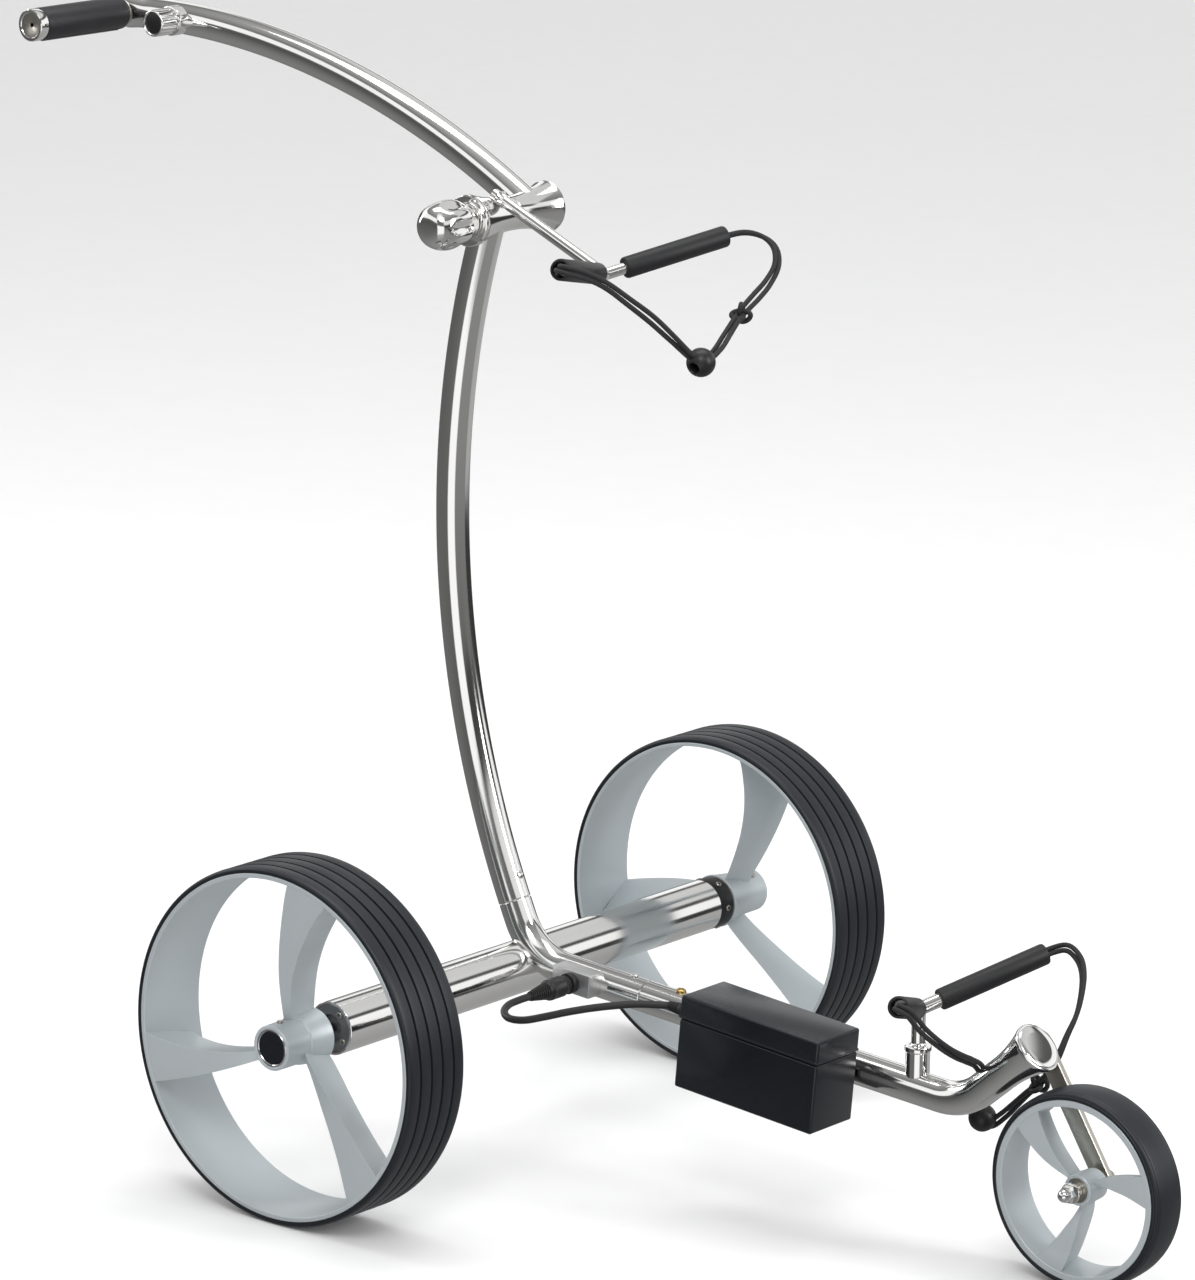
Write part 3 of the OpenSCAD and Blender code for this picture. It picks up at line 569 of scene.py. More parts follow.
BLACK = Finish("satin black", (0.005, 0.005, 0.006), (0.010, 0.010, 0.011), 0.0, (0.34, 0.5),
               Pattern.GRAIN, 0.015)
LEATHER = Finish("grip leather", (0.005, 0.005, 0.007), (0.016, 0.015, 0.018), 0.0, (0.36, 0.54),
                 Pattern.LEATHER, 0.25)
CORD = Finish("elastic cord", (0.005, 0.005, 0.006), (0.016, 0.016, 0.018), 0.0, (0.55, 0.75),
              Pattern.BRAID, 0.12, sheen=0.04)
THREAD = Finish("stitching thread", (0.035, 0.035, 0.04), (0.06, 0.06, 0.065), 0.0, (0.5, 0.7),
                Pattern.GRAIN, 0.02)
BRASS = Finish("brass", (0.62, 0.45, 0.18), (0.5, 0.35, 0.13), 1.0, (0.2, 0.34), Pattern.POLISH, 0.003)
CAST = Finish("dark cast metal", (0.22, 0.22, 0.225), (0.3, 0.3, 0.31), 1.0, (0.35, 0.55), Pattern.GRAIN, 0.03)
BOARD = Finish("green board", (0.01, 0.09, 0.03), (0.02, 0.14, 0.05), 0.0, (0.4, 0.6), Pattern.GRAIN, 0.01)
CELL_WRAP = Finish("cell wrap", (0.02, 0.15, 0.26), (0.03, 0.2, 0.32), 0.0, (0.3, 0.45), Pattern.GRAIN, 0.01)


# ---------------------------------------------------------------- studio


@dataclass(frozen=True)
class Card:
    """One part of the room that polished metal sees.

    Args:
        start: Where it starts, as a share of a full turn from +X towards +Y.
        end: Where it ends.
        greys: Brightness at rising heights, which go from -1 straight down to 1 straight up.
    """

    start: float
    end: float
    greys: tuple[tuple[float, float], ...]

    def mask(self) -> list[tuple[float, float]]:
        """The stops of a ramp that is 1 on the card and 0 beside it.

        Returns:
            Place and brightness of each stop.
        """
        soft = 0.006
        if self.start > self.end:
            return [(0.0, 1.0), (self.end - soft, 1.0), (self.end + soft, 0.0), (self.start - soft, 0.0),
                    (self.start + soft, 1.0)]
        return [(0.0, 0.0), (self.start - soft, 0.0), (self.start + soft, 1.0), (self.end - soft, 1.0),
                (self.end + soft, 0.0)]


@dataclass
class Studio:
    """Camera, lights, surroundings and floor.

    Args:
        eye: The camera's place.
        turn: Its turn about the vertical, its dip and its roll, in degrees.
        lens: Its focal length on a 36 mm long side.
        room: Brightness of the room's even light.
        cards: What polished metal sees of the room. The first one fills what the others leave.
    """

    eye: Point = (3272.744, -3912.812, 1662.491)
    turn: Point = (39.219, 13.535, -0.609)
    lens: float = 176.0
    room: float = 0.85
    cards: tuple[Card, ...] = (
        Card(0.37, 0.765, ((-1, 0.3), (-0.5, 0.2), (0, 0.09), (0.22, 0.11), (0.27, 1.1), (0.56, 1.1), (0.6, 0.16),
                           (1, 0.5))),
        Card(0.765, 0.9, ((-1, 0.25), (-0.5, 0.5), (-0.42, 1.15), (0.1, 1.15), (0.15, 0.16), (0.5, 0.13),
                          (0.55, 1.1), (0.85, 1.1), (1, 0.4))),
        Card(0.9, 0.12, ((-1, 0.3), (-0.3, 0.26), (0, 0.15), (0.05, 0.05), (0.2, 0.05), (0.25, 0.85), (0.5, 0.95),
                         (0.55, 0.16), (1, 0.5))),
        Card(0.12, 0.37, ((-1, 0.3), (-0.3, 0.45), (-0.24, 0.45), (-0.2, 0.04), (-0.01, 0.04), (0.03, 1.1),
                          (0.37, 1.1), (0.41, 0.08), (0.5, 0.08), (0.54, 0.75), (0.7, 0.7), (1, 0.6))),
    )

    def camera(self) -> None:
        """Places the camera."""
        data = bpy.data.cameras.new("camera")
        data.lens, data.sensor_width, data.sensor_fit = self.lens, 36.0, "AUTO"
        data.clip_start, data.clip_end = 0.1, 100.0
        obj = bpy.data.objects.new("camera", data)
        bpy.context.scene.collection.objects.link(obj)
        a, e, roll = (math.radians(v) for v in self.turn)
        ahead = Vector((-math.sin(a) * math.cos(e), math.cos(a) * math.cos(e), -math.sin(e)))
        spin = ahead.to_track_quat("-Z", "Y").to_matrix().to_4x4() @ Matrix.Rotation(-roll, 4, "Z")
        obj.matrix_world = Matrix.Translation(TO_ROW @ Vector(self.eye)) @ spin
        bpy.context.scene.camera = obj

    def lamp(self, name: str, at: Point, size: tuple[float, float], power: float) -> None:
        """Adds a soft lamp that faces the trolley's middle.

        Args:
            name: Its name.
            at: Its place, in metres.
            size: Its two sides, in metres.
            power: Its power in watts.
        """
        data = bpy.data.lights.new(name, "AREA")
        data.shape, data.size, data.size_y, data.energy = "RECTANGLE", size[0], size[1], power
        obj = bpy.data.objects.new(name, data)
        bpy.context.scene.collection.objects.link(obj)
        obj.location = at
        obj.rotation_euler = (Vector((0, 0, 0.4)) - Vector(at)).to_track_quat("-Z", "Y").to_euler()

    def surroundings(self) -> None:
        """An even pale room, in which polished metal sees bright and dark cards."""
        world = bpy.data.worlds.new("studio")
        bpy.context.scene.world = world
        world.use_nodes = True
        world.node_tree.nodes.clear()
        net = Net(world.node_tree)
        parts = net.add("ShaderNodeSeparateXYZ", {0: net.add("ShaderNodeTexCoord").outputs["Generated"]}).outputs
        turn = net.math("DIVIDE", net.math("ARCTAN2", parts[1], parts[0]), math.tau)
        share = net.math("FRACT", net.math("ADD", turn, 1.0))
        rise = net.math("MULTIPLY_ADD", parts[2], 0.5)
        rise.node.inputs[2].default_value = 0.5
        shown = None
        for card in self.cards:
            ramp = net.add("ShaderNodeValToRGB", {0: rise})
            self.stops(ramp, [(0.5 + 0.5 * height, grey) for height, grey in card.greys])
            if shown is None:
                shown = ramp.outputs[0]
                continue
            mask = net.add("ShaderNodeValToRGB", {0: share})
            self.stops(mask, card.mask())
            shown = net.add("ShaderNodeMix", {0: mask.outputs[0], 6: shown, 7: ramp.outputs[0]},
                            data_type="RGBA").outputs[2]
        path = net.add("ShaderNodeLightPath").outputs
        seen = net.add("ShaderNodeMix", {0: path["Is Glossy Ray"], 6: (*[self.room] * 3, 1.0), 7: shown},
                       data_type="RGBA")
        back = net.add("ShaderNodeBackground", {0: seen.outputs[2], 1: 1.0})
        net.add("ShaderNodeOutputWorld", {0: back.outputs[0]})

    @staticmethod
    def stops(ramp: bpy.types.Node, values: Iterable[tuple[float, float]]) -> None:
        """Sets a colour ramp's grey stops.

        Args:
            ramp: The ramp's node.
            values: Place and brightness of each stop.
        """
        marks = ramp.color_ramp.elements
        while len(marks) > 1:
            marks.remove(marks[-1])
        for i, (where, grey) in enumerate(values):
            mark = marks[0] if i == 0 else marks.new(where)
            mark.position, mark.color = where, (grey, grey, grey, 1.0)

    def floor(self) -> None:
        """A wide pale floor."""
        bm = bmesh.new()
        bmesh.ops.create_grid(bm, x_segments=8, y_segments=8, size=30.0)
        mesh = bpy.data.meshes.new("studio_floor")
        bm.to_mesh(mesh)
        bm.free()
        obj = bpy.data.objects.new("studio_floor", mesh)
        bpy.context.scene.collection.objects.link(obj)
        mesh.materials.append(Finish("pale floor", (0.86, 0.86, 0.86), (0.9, 0.9, 0.9), 0.0, (0.55, 0.75),
                                     Pattern.GRAIN, 0.01).material())
        obj.visible_glossy = False

    def build(self) -> None:
        """Sets up the whole studio."""
        bpy.context.scene.view_settings.view_transform = "Standard"
        self.camera()
        self.surroundings()
        self.floor()
        self.lamp("key", (2.2, -2.6, 3.6), (1.8, 1.4), 55)
        self.lamp("top", (-0.4, 0.4, 3.6), (3.0, 1.2), 40)
        self.lamp("side", (-3.4, -0.8, 1.8), (0.8, 2.2), 20)
        self.lamp("front", (3.4, 1.0, 1.8), (0.8, 2.0), 45)


# ---------------------------------------------------------------- cords

LEAD_ROUTE = (
    (76, -80, 155.5), (76, -94, 155.5), (77, -108, 155), (82, -120, 153), (93, -127, 151), (108, -126, 152),
    (123, -118, 156), (139, -108, 161), (155, -97, 165), (171, -86, 168), (188, -74, 170), (210, -60, 170),
)
UPPER_ROUTE = (
    (119.44, -95.1, 775.44), (126, -112, 780), (136, -115, 780), (148, -105, 776), (158, -90, 767),
    (169, -73, 752), (177, -55, 737), (185, -38, 720), (192, -22, 704), (194, -8, 698), (190, 14, 704),
    (183, 36, 713), (177, 56, 722), (173, 72, 728), (171, 90, 736), (170, 106, 745), (167, 121, 757),
    (158, 130, 769), (145, 130, 777), (131, 120, 780), (119.44, 95.1, 775.44),
)
LOWER_ROUTE = (
    (465.19, -89.03, 226.16), (474, -106, 232), (483, -104, 229), (483, -93, 219), (480, -79, 208),
    (478, -62, 196), (478, -43, 183), (477, -25, 173), (475, -8, 165), (472, 9, 156), (468, 22, 142),
    (464, 25, 125), (464, 25, 108), (470, 29, 102), (480, 33, 110), (490, 36, 121), (500, 38, 132),
    (509, 40, 141), (517, 44, 152), (521, 51, 166), (522, 60, 180), (522, 72, 194), (518, 84, 207),
    (511, 96, 220), (500, 106, 229), (486, 110, 235), (474, 106, 232), (465.19, 89.03, 226.16),
)
UPPER_BALL, UPPER_KNOT = Vector((194, -12, 698)), Vector((175, 64, 725))
LOWER_BALL, LOWER_KNOT = Vector((465, 26, 107)), Vector((509, 40, 141))


@dataclass
class Cords:
    """The power lead and the two elastic loops, with their balls and knots.

    Args:
        lead_d: Diameter of the power lead.
        strand_d: Diameter of one elastic cord.
        twist: Turns that a loop's two cords make round each other.
    """

    lead_d: float = 6.3
    strand_d: float = 4.2
    twist: float = 0.6

    def lay(self, name: str, points: list[Vector], width: float, fit: Fit, finish: Finish, words: dict,
            pieces: list) -> bpy.types.Object:
        """Args:
            name: Its name.
            points: Its middle line.
            width: Its diameter.
            fit: Where it belongs.
            finish: Its finish.
            words: What it is like; not used.
            pieces: The pieces on it; not used.

        Returns:
            The cord.
        """
        shape = Shape()
        shape.sweep(points, width / 2, sides=16, lay=True)
        obj = piece(name, shape, fit, finish, sharp=60)
        return obj

    def strands(self, name: str, route: Sequence[Point], body: str, node: str, on_it: list) -> None:
        """Makes the two cords of an elastic loop.

        Args:
            name: The loop's name.
            route: The line midway between the two.
            body: The CAD body they ride on.
            node: The CAD node they stand for.
            on_it: The ball and the knot.
        """
        middle = smooth_route(route, 6)
        frames = frames_along(middle)
        for i, side in enumerate((-1, 1)):
            points = []
            for k, (p, (_, u, v)) in enumerate(zip(middle, frames)):
                t = k / (len(middle) - 1)
                turn = math.tau * self.twist * t
                gap = self.strand_d * (0.51 + 0.22 * math.sin(math.pi * t * 5) ** 2 * math.sin(math.pi * t))
                points.append(p + (u * math.cos(turn) + v * math.sin(turn)) * gap * side)
            self.lay(f"{name}_{'ab'[i]}", points, self.strand_d, Fit(body, "elastic_cord", (node,)), CORD,
                     {"far_end": "object", "stiffness": "limp", "lay": "hanging"}, on_it if i == 0 else [])

    def knot(self, name: str, at: Vector, across: Point, size: float, fit: Fit) -> bpy.types.Object:
        """A tight overhand knot.

        Args:
            name: Its name.
            at: Its middle.
            across: The direction that it faces.
            size: How far its loops reach.
            fit: Where it belongs.

        Returns:
            The knot.
        """
        turn = Vector((0, 0, 1)).rotation_difference(Vector(across)).to_matrix()
        points = []
        for k in range(61):
            t = math.tau * k / 60
            flat = Vector((math.sin(t) + 2 * math.sin(2 * t), math.cos(t) - 2 * math.cos(2 * t),
                           -1.6 * math.sin(3 * t))) / 3
            points.append(at + turn @ flat * size)
        shape = Shape()
        shape.sweep(points, self.strand_d / 2, sides=12, lay=True)
        return piece(name, shape, fit, CORD, sharp=60)

    def ball(self, name: str, at: Vector, radius: float, along: Point, fit: Fit) -> bpy.types.Object:
        """A toggle ball with a countersunk hole through it.

        Args:
            name: Its name.
            at: Its middle.
            radius: Its radius.
            along: The direction of its hole.
            fit: Where it belongs.

        Returns:
            The ball.
        """
        hole = 5.0
        start = math.asin(hole / radius)
        arc = [start + (math.pi - 2 * start) * i / 28 for i in range(29)]
        rim = [(radius * math.sin(a), -radius * math.cos(a)) for a in arc]
        lip = radius * math.cos(start)
        profile = [(hole - 0.8, -lip + 1.2), *rim, (hole - 0.8, lip - 1.2), (hole - 0.8, -lip + 1.2)]
        shape = Shape()
        shape.lathe(profile, at, along, 48)
        return piece(name, shape, fit, BLACK, sharp=50)

    def build(self, plug: bpy.types.Object) -> None:
        """Makes all cords.

        Args:
            plug: The finished plug at the lead's rear end.
        """
        self.lay("power_lead_cord", smooth_route(LEAD_ROUTE, 8), self.lead_d,
                 Fit("chassis", "matte_black", ("power_lead",)), BLACK,
                 {"far_end": "object", "stiffness": "medium", "lay": "loose"}, [plug])
        upper = Fit("mast", "matte_black", ("upper_ball",))
        lower = Fit("chassis", "matte_black", ("lower_ball",))
        self.strands("upper_loop", UPPER_ROUTE, "mast", "upper_bungee", [
            self.ball("upper_toggle", UPPER_BALL, 12.0, (-0.1, 0.95, 0.3), upper),
            self.knot("upper_knot", UPPER_KNOT, (0.9, -0.3, 0.3), 8.0, upper)])
        self.strands("lower_loop", LOWER_ROUTE, "chassis", "lower_bungee", [
            self.ball("lower_toggle", LOWER_BALL, 11.5, (0.3, 0.2, -0.9), lower),
            self.knot("lower_knot", LOWER_KNOT, (0.5, -0.6, 0.5), 7.5, lower)])


# ---------------------------------------------------------------- wheels


SpokeRow = tuple[float, tuple[float, float], tuple[float, float], tuple[float, float]]

# Distance from the axle, then sideways place and depth of the leading edge, crease and ridge.
REAR_SPOKE: tuple[SpokeRow, ...] = (
    (14, (10.5, 21.5), (0.5, 26.5), (1.0, 50.4)), (19, (9.6, 19.6), (2.6, 23.6), (3.2, 50.2)),
    (24, (10.1, 17.9), (3.5, 21.4), (4.2, 50.0)), (32, (11.5, 15.6), (3.7, 18.9), (4.8, 49.0)),
    (48, (13.8, 11.1), (3.2, 13.8), (5.1, 46.5)), (66, (16.0, 7.2), (1.2, 9.2), (4.4, 44.3)),
    (86, (17.9, 4.4), (-2.8, 5.8), (2.4, 44.1)), (106, (19.1, 2.3), (-8.6, 3.2), (-1.0, 46.3)),
    (127, (19.8, 0.6), (-16.4, 0.6), (-5.8, 51.2)), (136, (19.9, 0.4), (-20.8, 0.4), (-8.6, 54.2)),
    (142.3, (19.9, 0.4), (-23.8, 0.4), (-10.5, 56.5)),
)
FRONT_SPOKE: tuple[SpokeRow, ...] = (
    (9.5, (4.6, 12.2), (1.4, 14.4), (4.0, 30.5)), (14, (5.2, 11.6), (2.6, 13.2), (5.2, 31.2)),
    (21, (7.4, 9.7), (2.1, 10.8), (6.0, 32.0)), (29, (9.4, 7.4), (0.5, 8.0), (6.2, 32.4)),
    (37, (10.9, 5.6), (-1.7, 5.8), (6.0, 32.6)), (46, (11.7, 4.0), (-4.5, 4.2), (5.4, 33.1)),
    (54, (11.9, 2.8), (-7.9, 2.9), (4.5, 33.9)), (62.5, (11.4, 1.2), (-11.9, 1.2), (3.2, 34.9)),
    (72, (10.2, 0.8), (-17.3, 0.8), (1.2, 36.4)),
)


@dataclass
class Wheel:
    """A wheel with a deep rim, three twisted spokes and a tyre.

    Args:
        name: What its pieces are called after.
        body: The CAD body it rides on.
        centre: The middle of its outer face's plane on its axis.
        side: -1 if that face looks to the right, 1 if it looks to the left.
        nodes: The CAD nodes of its rim, its tyre and, on a driven wheel, its shaft.
    """

    name: str
    body: str
    centre: Point
    side: int
    nodes: tuple[str, ...]

    def into_place(self, shape: Shape) -> None:
        """Moves a shape onto the wheel.

        Args:
            shape: The shape, drawn with its depth along +Y from the outer face.
        """
        turn = Matrix.Identity(4)
        if self.side > 0:
            turn = Matrix.Rotation(math.radians(30), 4, "Y") @ Matrix.Rotation(math.pi, 4, "Z")
        bmesh.ops.transform(shape.bm, matrix=Matrix.Translation(self.centre) @ turn, verts=shape.bm.verts)

    def spokes(self, shape: Shape, rows: Sequence[SpokeRow], angles: Sequence[float]) -> None:
        """Adds the three twisted spokes.

        Args:
            shape: The rim's shape.
            rows: The places of a spoke's three edges.
            angles: The spokes' directions, in degrees.
        """
        edges = [smooth_route([(row[0], *row[k]) for row in rows], 5) for k in (1, 2, 3)]
        for angle in angles:
            a = math.radians(angle)
            turn = Matrix(((math.cos(a), -math.sin(a), 0), (0, 0, 1), (math.sin(a), math.cos(a), 0)))
            loops = []
            for corners in zip(*edges):
                ring = bmesh.ops.create_circle(shape.bm, cap_ends=False, segments=3, radius=1.0)["verts"]
                for vert, corner in zip(ring, corners):
                    vert.co = turn @ corner
                loops.append(list({e for v in ring for e in v.link_edges}))
            shape.bridge(loops)

    def rim_profile(self, outer: float, width: float, walls: Sequence[float], lip: float) -> Profile:
        """The closed outline of a rim.

        Args:
            outer: Its outer radius.
            width: Its width.
            walls: Wall thickness at the outer edge, in the middle and at the inner edge.
            lip: The rounding of its edges.

        Returns:
            Radius and depth of each point.
        """
        out = [(outer - lip, 0.0), (outer, lip), (outer, width - lip), (outer - lip, width)]
        inner = []
        for i in range(25):
            t = i / 24
            wall = walls[0] + (walls[1] - walls[0]) * math.sin(math.pi * t) + (walls[2] - walls[0]) * t
            inner.append((outer - wall, width - lip - (width - 2 * lip) * t))
        return [*out, (inner[0][0] + lip, width), *inner, (inner[-1][0] + lip, 0.0), out[0]]


@dataclass
class RearWheel(Wheel):
    """A driven rear wheel.

    Args:
        outer: Radius over the tread.
        width: Its width.
        rim_r: Radius of the tyre's seat.
    """

    outer: float = 150.0
    width: float = 67.0
    rim_r: float = 145.0

    def rim(self) -> None:
        """Makes the rim with its hub and spokes."""
        shape = Shape()
        shape.lathe(self.rim_profile(self.rim_r, self.width, (3.4, 1.6, 4.0), 0.5), sides=180)
        shape.lathe([(15.9, 3.6), (15.9, 0.6), (16.6, 0.0), (18.4, 0.0), (19.0, 0.7), (19.2, 27.5), (19.8, 28.0),
                     (20.4, 28.4), (21.0, 34.0), (22.2, 44.0), (23.6, 50.6), (23.0, 51.6), (6.0, 52.0),
                     (6.0, 3.6), (15.9, 3.6)], sides=96)
        self.spokes(shape, REAR_SPOKE, (75, 195, 315))
        self.into_place(shape)
        piece(f"{self.name}_rim", shape, Fit(self.body, "silver_paint", (self.nodes[0],)), SILVER_PAINT,
              sharp=28, bevel=0.5)

    def tyre(self) -> None:
        """Makes the tyre, with five ribs round its tread."""
        r, w, deep = self.outer, self.width, 1.9
        pitch = w / 5
        outline: list[tuple[float, float]] = [(self.rim_r, 0.5), (self.rim_r + 1.5, 0.0), (r - 2.6, 0.0)]
        outline += [(r - 1.4, 0.5), (r - 0.7, 1.6)]
        for i in range(5):
            low, high = i * pitch + (1.3 if i else 3.0), (i + 1) * pitch - (1.3 if i < 4 else 3.0)
            if i:
                outline += [(r - deep, low - 0.55), (r - deep * 0.45, low - 0.1)]
            for k in range(7):
                t = k / 6
                outline.append((r - 0.5 + 0.5 * math.sin(math.pi * (0.12 + 0.76 * t)), low + (high - low) * t))
            if i < 4:
                outline += [(r - deep * 0.45, high + 0.1), (r - deep, high + 0.55)]
        outline += [(r - 0.7, w - 1.6), (r - 1.4, w - 0.5), (r - 2.6, w), (self.rim_r + 1.5, w),
                    (self.rim_r, w - 0.5), (self.rim_r, 0.5)]
        shape = Shape()
        shape.lathe(outline, sides=180)
        self.into_place(shape)
        piece(f"{self.name}_tyre", shape, Fit(self.body, "tyre_rubber", (self.nodes[1],)), TYRE, sharp=50)

    def badge(self) -> None:
        """Makes the hub's blank badge, its ring and the set screw."""
        disc = Shape()
        disc.lathe([(0, 0.5), (13.2, 0.7), (13.8, 1.2), (13.8, 3.4), (0, 3.4)], sides=64)
        self.into_place(disc)
        piece(f"{self.name}_badge", disc, Fit(self.body, "gloss_black"), GLOSS_BLACK)
        ring = Shape()
        ring.lathe([(13.9, 3.4), (13.9, 0.9), (14.4, 0.35), (15.3, 0.35), (15.8, 0.9), (15.8, 3.4), (13.9, 3.4)],
                   sides=72)
        self.into_place(ring)
        piece(f"{self.name}_badge_ring", ring, Fit(self.body, "polished_steel"), POLISHED)
        shaft = Shape()
        shaft.lathe([(0, 4.2), (4.6, 4.2), (5.0, 4.6), (5.0, 115.6), (0, 115.6)], sides=48)
        shaft.lathe([(5.0, 110.6), (15.4, 110.6), (15.4, 117.0), (5.0, 117.0), (5.0, 110.6)], sides=64)
        self.into_place(shaft)
        piece(f"{self.name}_drive_shaft", shaft, Fit(self.body, "polished_steel", (self.nodes[2],)), POLISHED)
        screw = Shape()
        screw.lathe([(0, 21.2), (2.3, 21.2), (2.6, 20.9), (2.6, 18.0), (0, 18.0)], at=(0, 11, 0), along=(0, 0, 1),
                    sides=24)
        self.into_place(screw)
        piece(f"{self.name}_set_screw", screw, Fit(self.body, "brushed_steel"), SATIN_STEEL)

    def build(self) -> None:
        """Makes the whole wheel."""
        self.rim()
        self.tyre()
        self.badge()


@dataclass
class FrontWheel(RearWheel):
    """The small free wheel at the front."""

    outer: float = 81.5
    width: float = 38.0
    rim_r: float = 75.0

    def rim(self) -> None:
        """Makes the rim with its ledge, hub and spokes."""
        shape = Shape()
        r, w = self.rim_r, self.width
        shape.lathe([(r - 0.6, 0.3), (r, 0.9), (r, w - 0.9), (r - 0.6, w - 0.3), (69.8, w - 0.3), (69.3, w - 0.8),
                     (68.9, w - 8), (68.4, w / 2), (68.9, 8), (69.3, 0.8), (69.8, 0.3), (r - 0.6, 0.3)], sides=128)
        shape.lathe([(9.6, 10.4), (9.6, 7.2), (10.2, 6.6), (12.2, 6.6), (12.8, 7.2), (13.4, 19), (12.8, 30.8),
                     (12.2, 31.4), (10.2, 31.4), (9.6, 30.8), (9.6, 27.6), (6.2, 27.6), (6.2, 10.4), (9.6, 10.4)],
                    sides=72)
        self.spokes(shape, FRONT_SPOKE, (13.5, 133.5, 253.5))
        self.into_place(shape)
        piece(f"{self.name}_rim", shape, Fit(self.body, "silver_paint", (self.nodes[0],)), SILVER_PAINT,
              sharp=28, bevel=0.3)

    def tyre(self) -> None:
        """Makes the smooth round tyre, with a fine groove beside each edge."""
        r, w, seat = self.outer, self.width, self.rim_r
        half = [(seat, 0.6), (seat + 1.0, 0.0), (seat + 2.6, 0.0), (seat + 3.2, 0.7), (seat + 3.0, 1.5),
                (seat + 4.0, 1.7), (seat + 4.9, 2.7), (seat + 5.3, 4.2), (seat + 5.1, 4.8), (seat + 5.6, 5.4)]
        bulge = [(seat + 5.6 + (r - seat - 5.6) * math.sin(math.pi / 2 * (i / 9)), 5.4 + (w / 2 - 5.4) * i / 9)
                 for i in range(1, 10)]
        left = [*half, *bulge]
        outline = [*left, *[(rad, w - u) for rad, u in reversed(left[:-1])], left[0]]
        shape = Shape()
        shape.lathe(outline, sides=128)
        self.into_place(shape)
        piece(f"{self.name}_tyre", shape, Fit(self.body, "tyre_rubber", (self.nodes[1],)), TYRE, sharp=50)

    def badge(self) -> None:
        """The front wheel has no badge."""


# ---------------------------------------------------------------- mast, joint and upper cradle

HINGE = Vector((-42, 0, 788))
MAST_CENTRE = (730.5, 0, 539)
HANDLE_CENTRE = (-470, 52, 102)
BIG_BEND = 810.0
SEAM_Y = 26.0
# Radius and height of a snap button above its tube's middle line
SNAP_OUTLINE = ((0, 6.6), (4.5, 6.6), (4.5, 8.4), (3.4, 8.4), (3.4, 14.6), (2.9, 15.5), (1.6, 16.0), (0, 16.1))


def barrel_profile(length: float) -> list[tuple[float, float]]:
    """Half of the joint's hourglass, from its seam outwards.

    Args:
        length: How far it reaches from the seam.

    Returns:
        Radius and height of each point.
    """
    waist, flare, steps = 14.5, 6.9, 24
    shares = [i / steps for i in range(1, steps + 1)]
    return [(0.0, 0.0), (waist - 0.4, 0.0), (waist, 0.4), *[(waist + flare * t ** 2.1, length * t) for t in shares]]


@dataclass
class Cradle:
    """Two arms in a V with rubber sleeves.

    Args:
        name: What its pieces are called after.
        body: The CAD body it rides on.
        apex: Where the arms meet.
        tip: The end of the left sleeve.
        arm_r: Radius of an arm.
        nodes: The CAD nodes of its arms and its sleeves.
        sleeve_r: Radius of a sleeve.
    """

    name: str
    body: str
    apex: Point
    tip: Point
    arm_r: float
    nodes: tuple[str, str]
    sleeve_r: float = 9.0

    def build(self) -> None:
        """Makes the arms and their sleeves."""
        apex = Vector(self.apex)
        arms, sleeves = Shape(), Shape()
        for side in (-1, 1):
            tip = Vector((self.tip[0], self.tip[1] * side, self.tip[2]))
            way = (tip - apex).normalized()
            end = (tip - apex).length
            arms.sweep([apex, apex + way * (end - 13)], self.arm_r, sides=32)
            r, mouth = self.sleeve_r, 6.5
            sleeves.lathe([(self.arm_r + 0.1, 19), (r - 1.6, 19), (r - 0.5, 19.5), (r, 20.8), (r, end - 1.8),
                           (r - 0.5, end - 0.5), (r - 1.5, end), (mouth + 0.5, end), (mouth, end - 0.6),
                           (mouth, end - 12.8), (self.arm_r + 0.1, end - 12.8), (self.arm_r + 0.1, 19)],
                          apex, way, 48)
        arms.ball(apex, self.arm_r + 0.05, 16)
        piece(f"{self.name}_bars", arms, Fit(self.body, "polished_steel", (self.nodes[0],)), POLISHED)
        piece(f"{self.name}_rubbers", sleeves, Fit(self.body, "sleeve_rubber", (self.nodes[1],)), RUBBER)


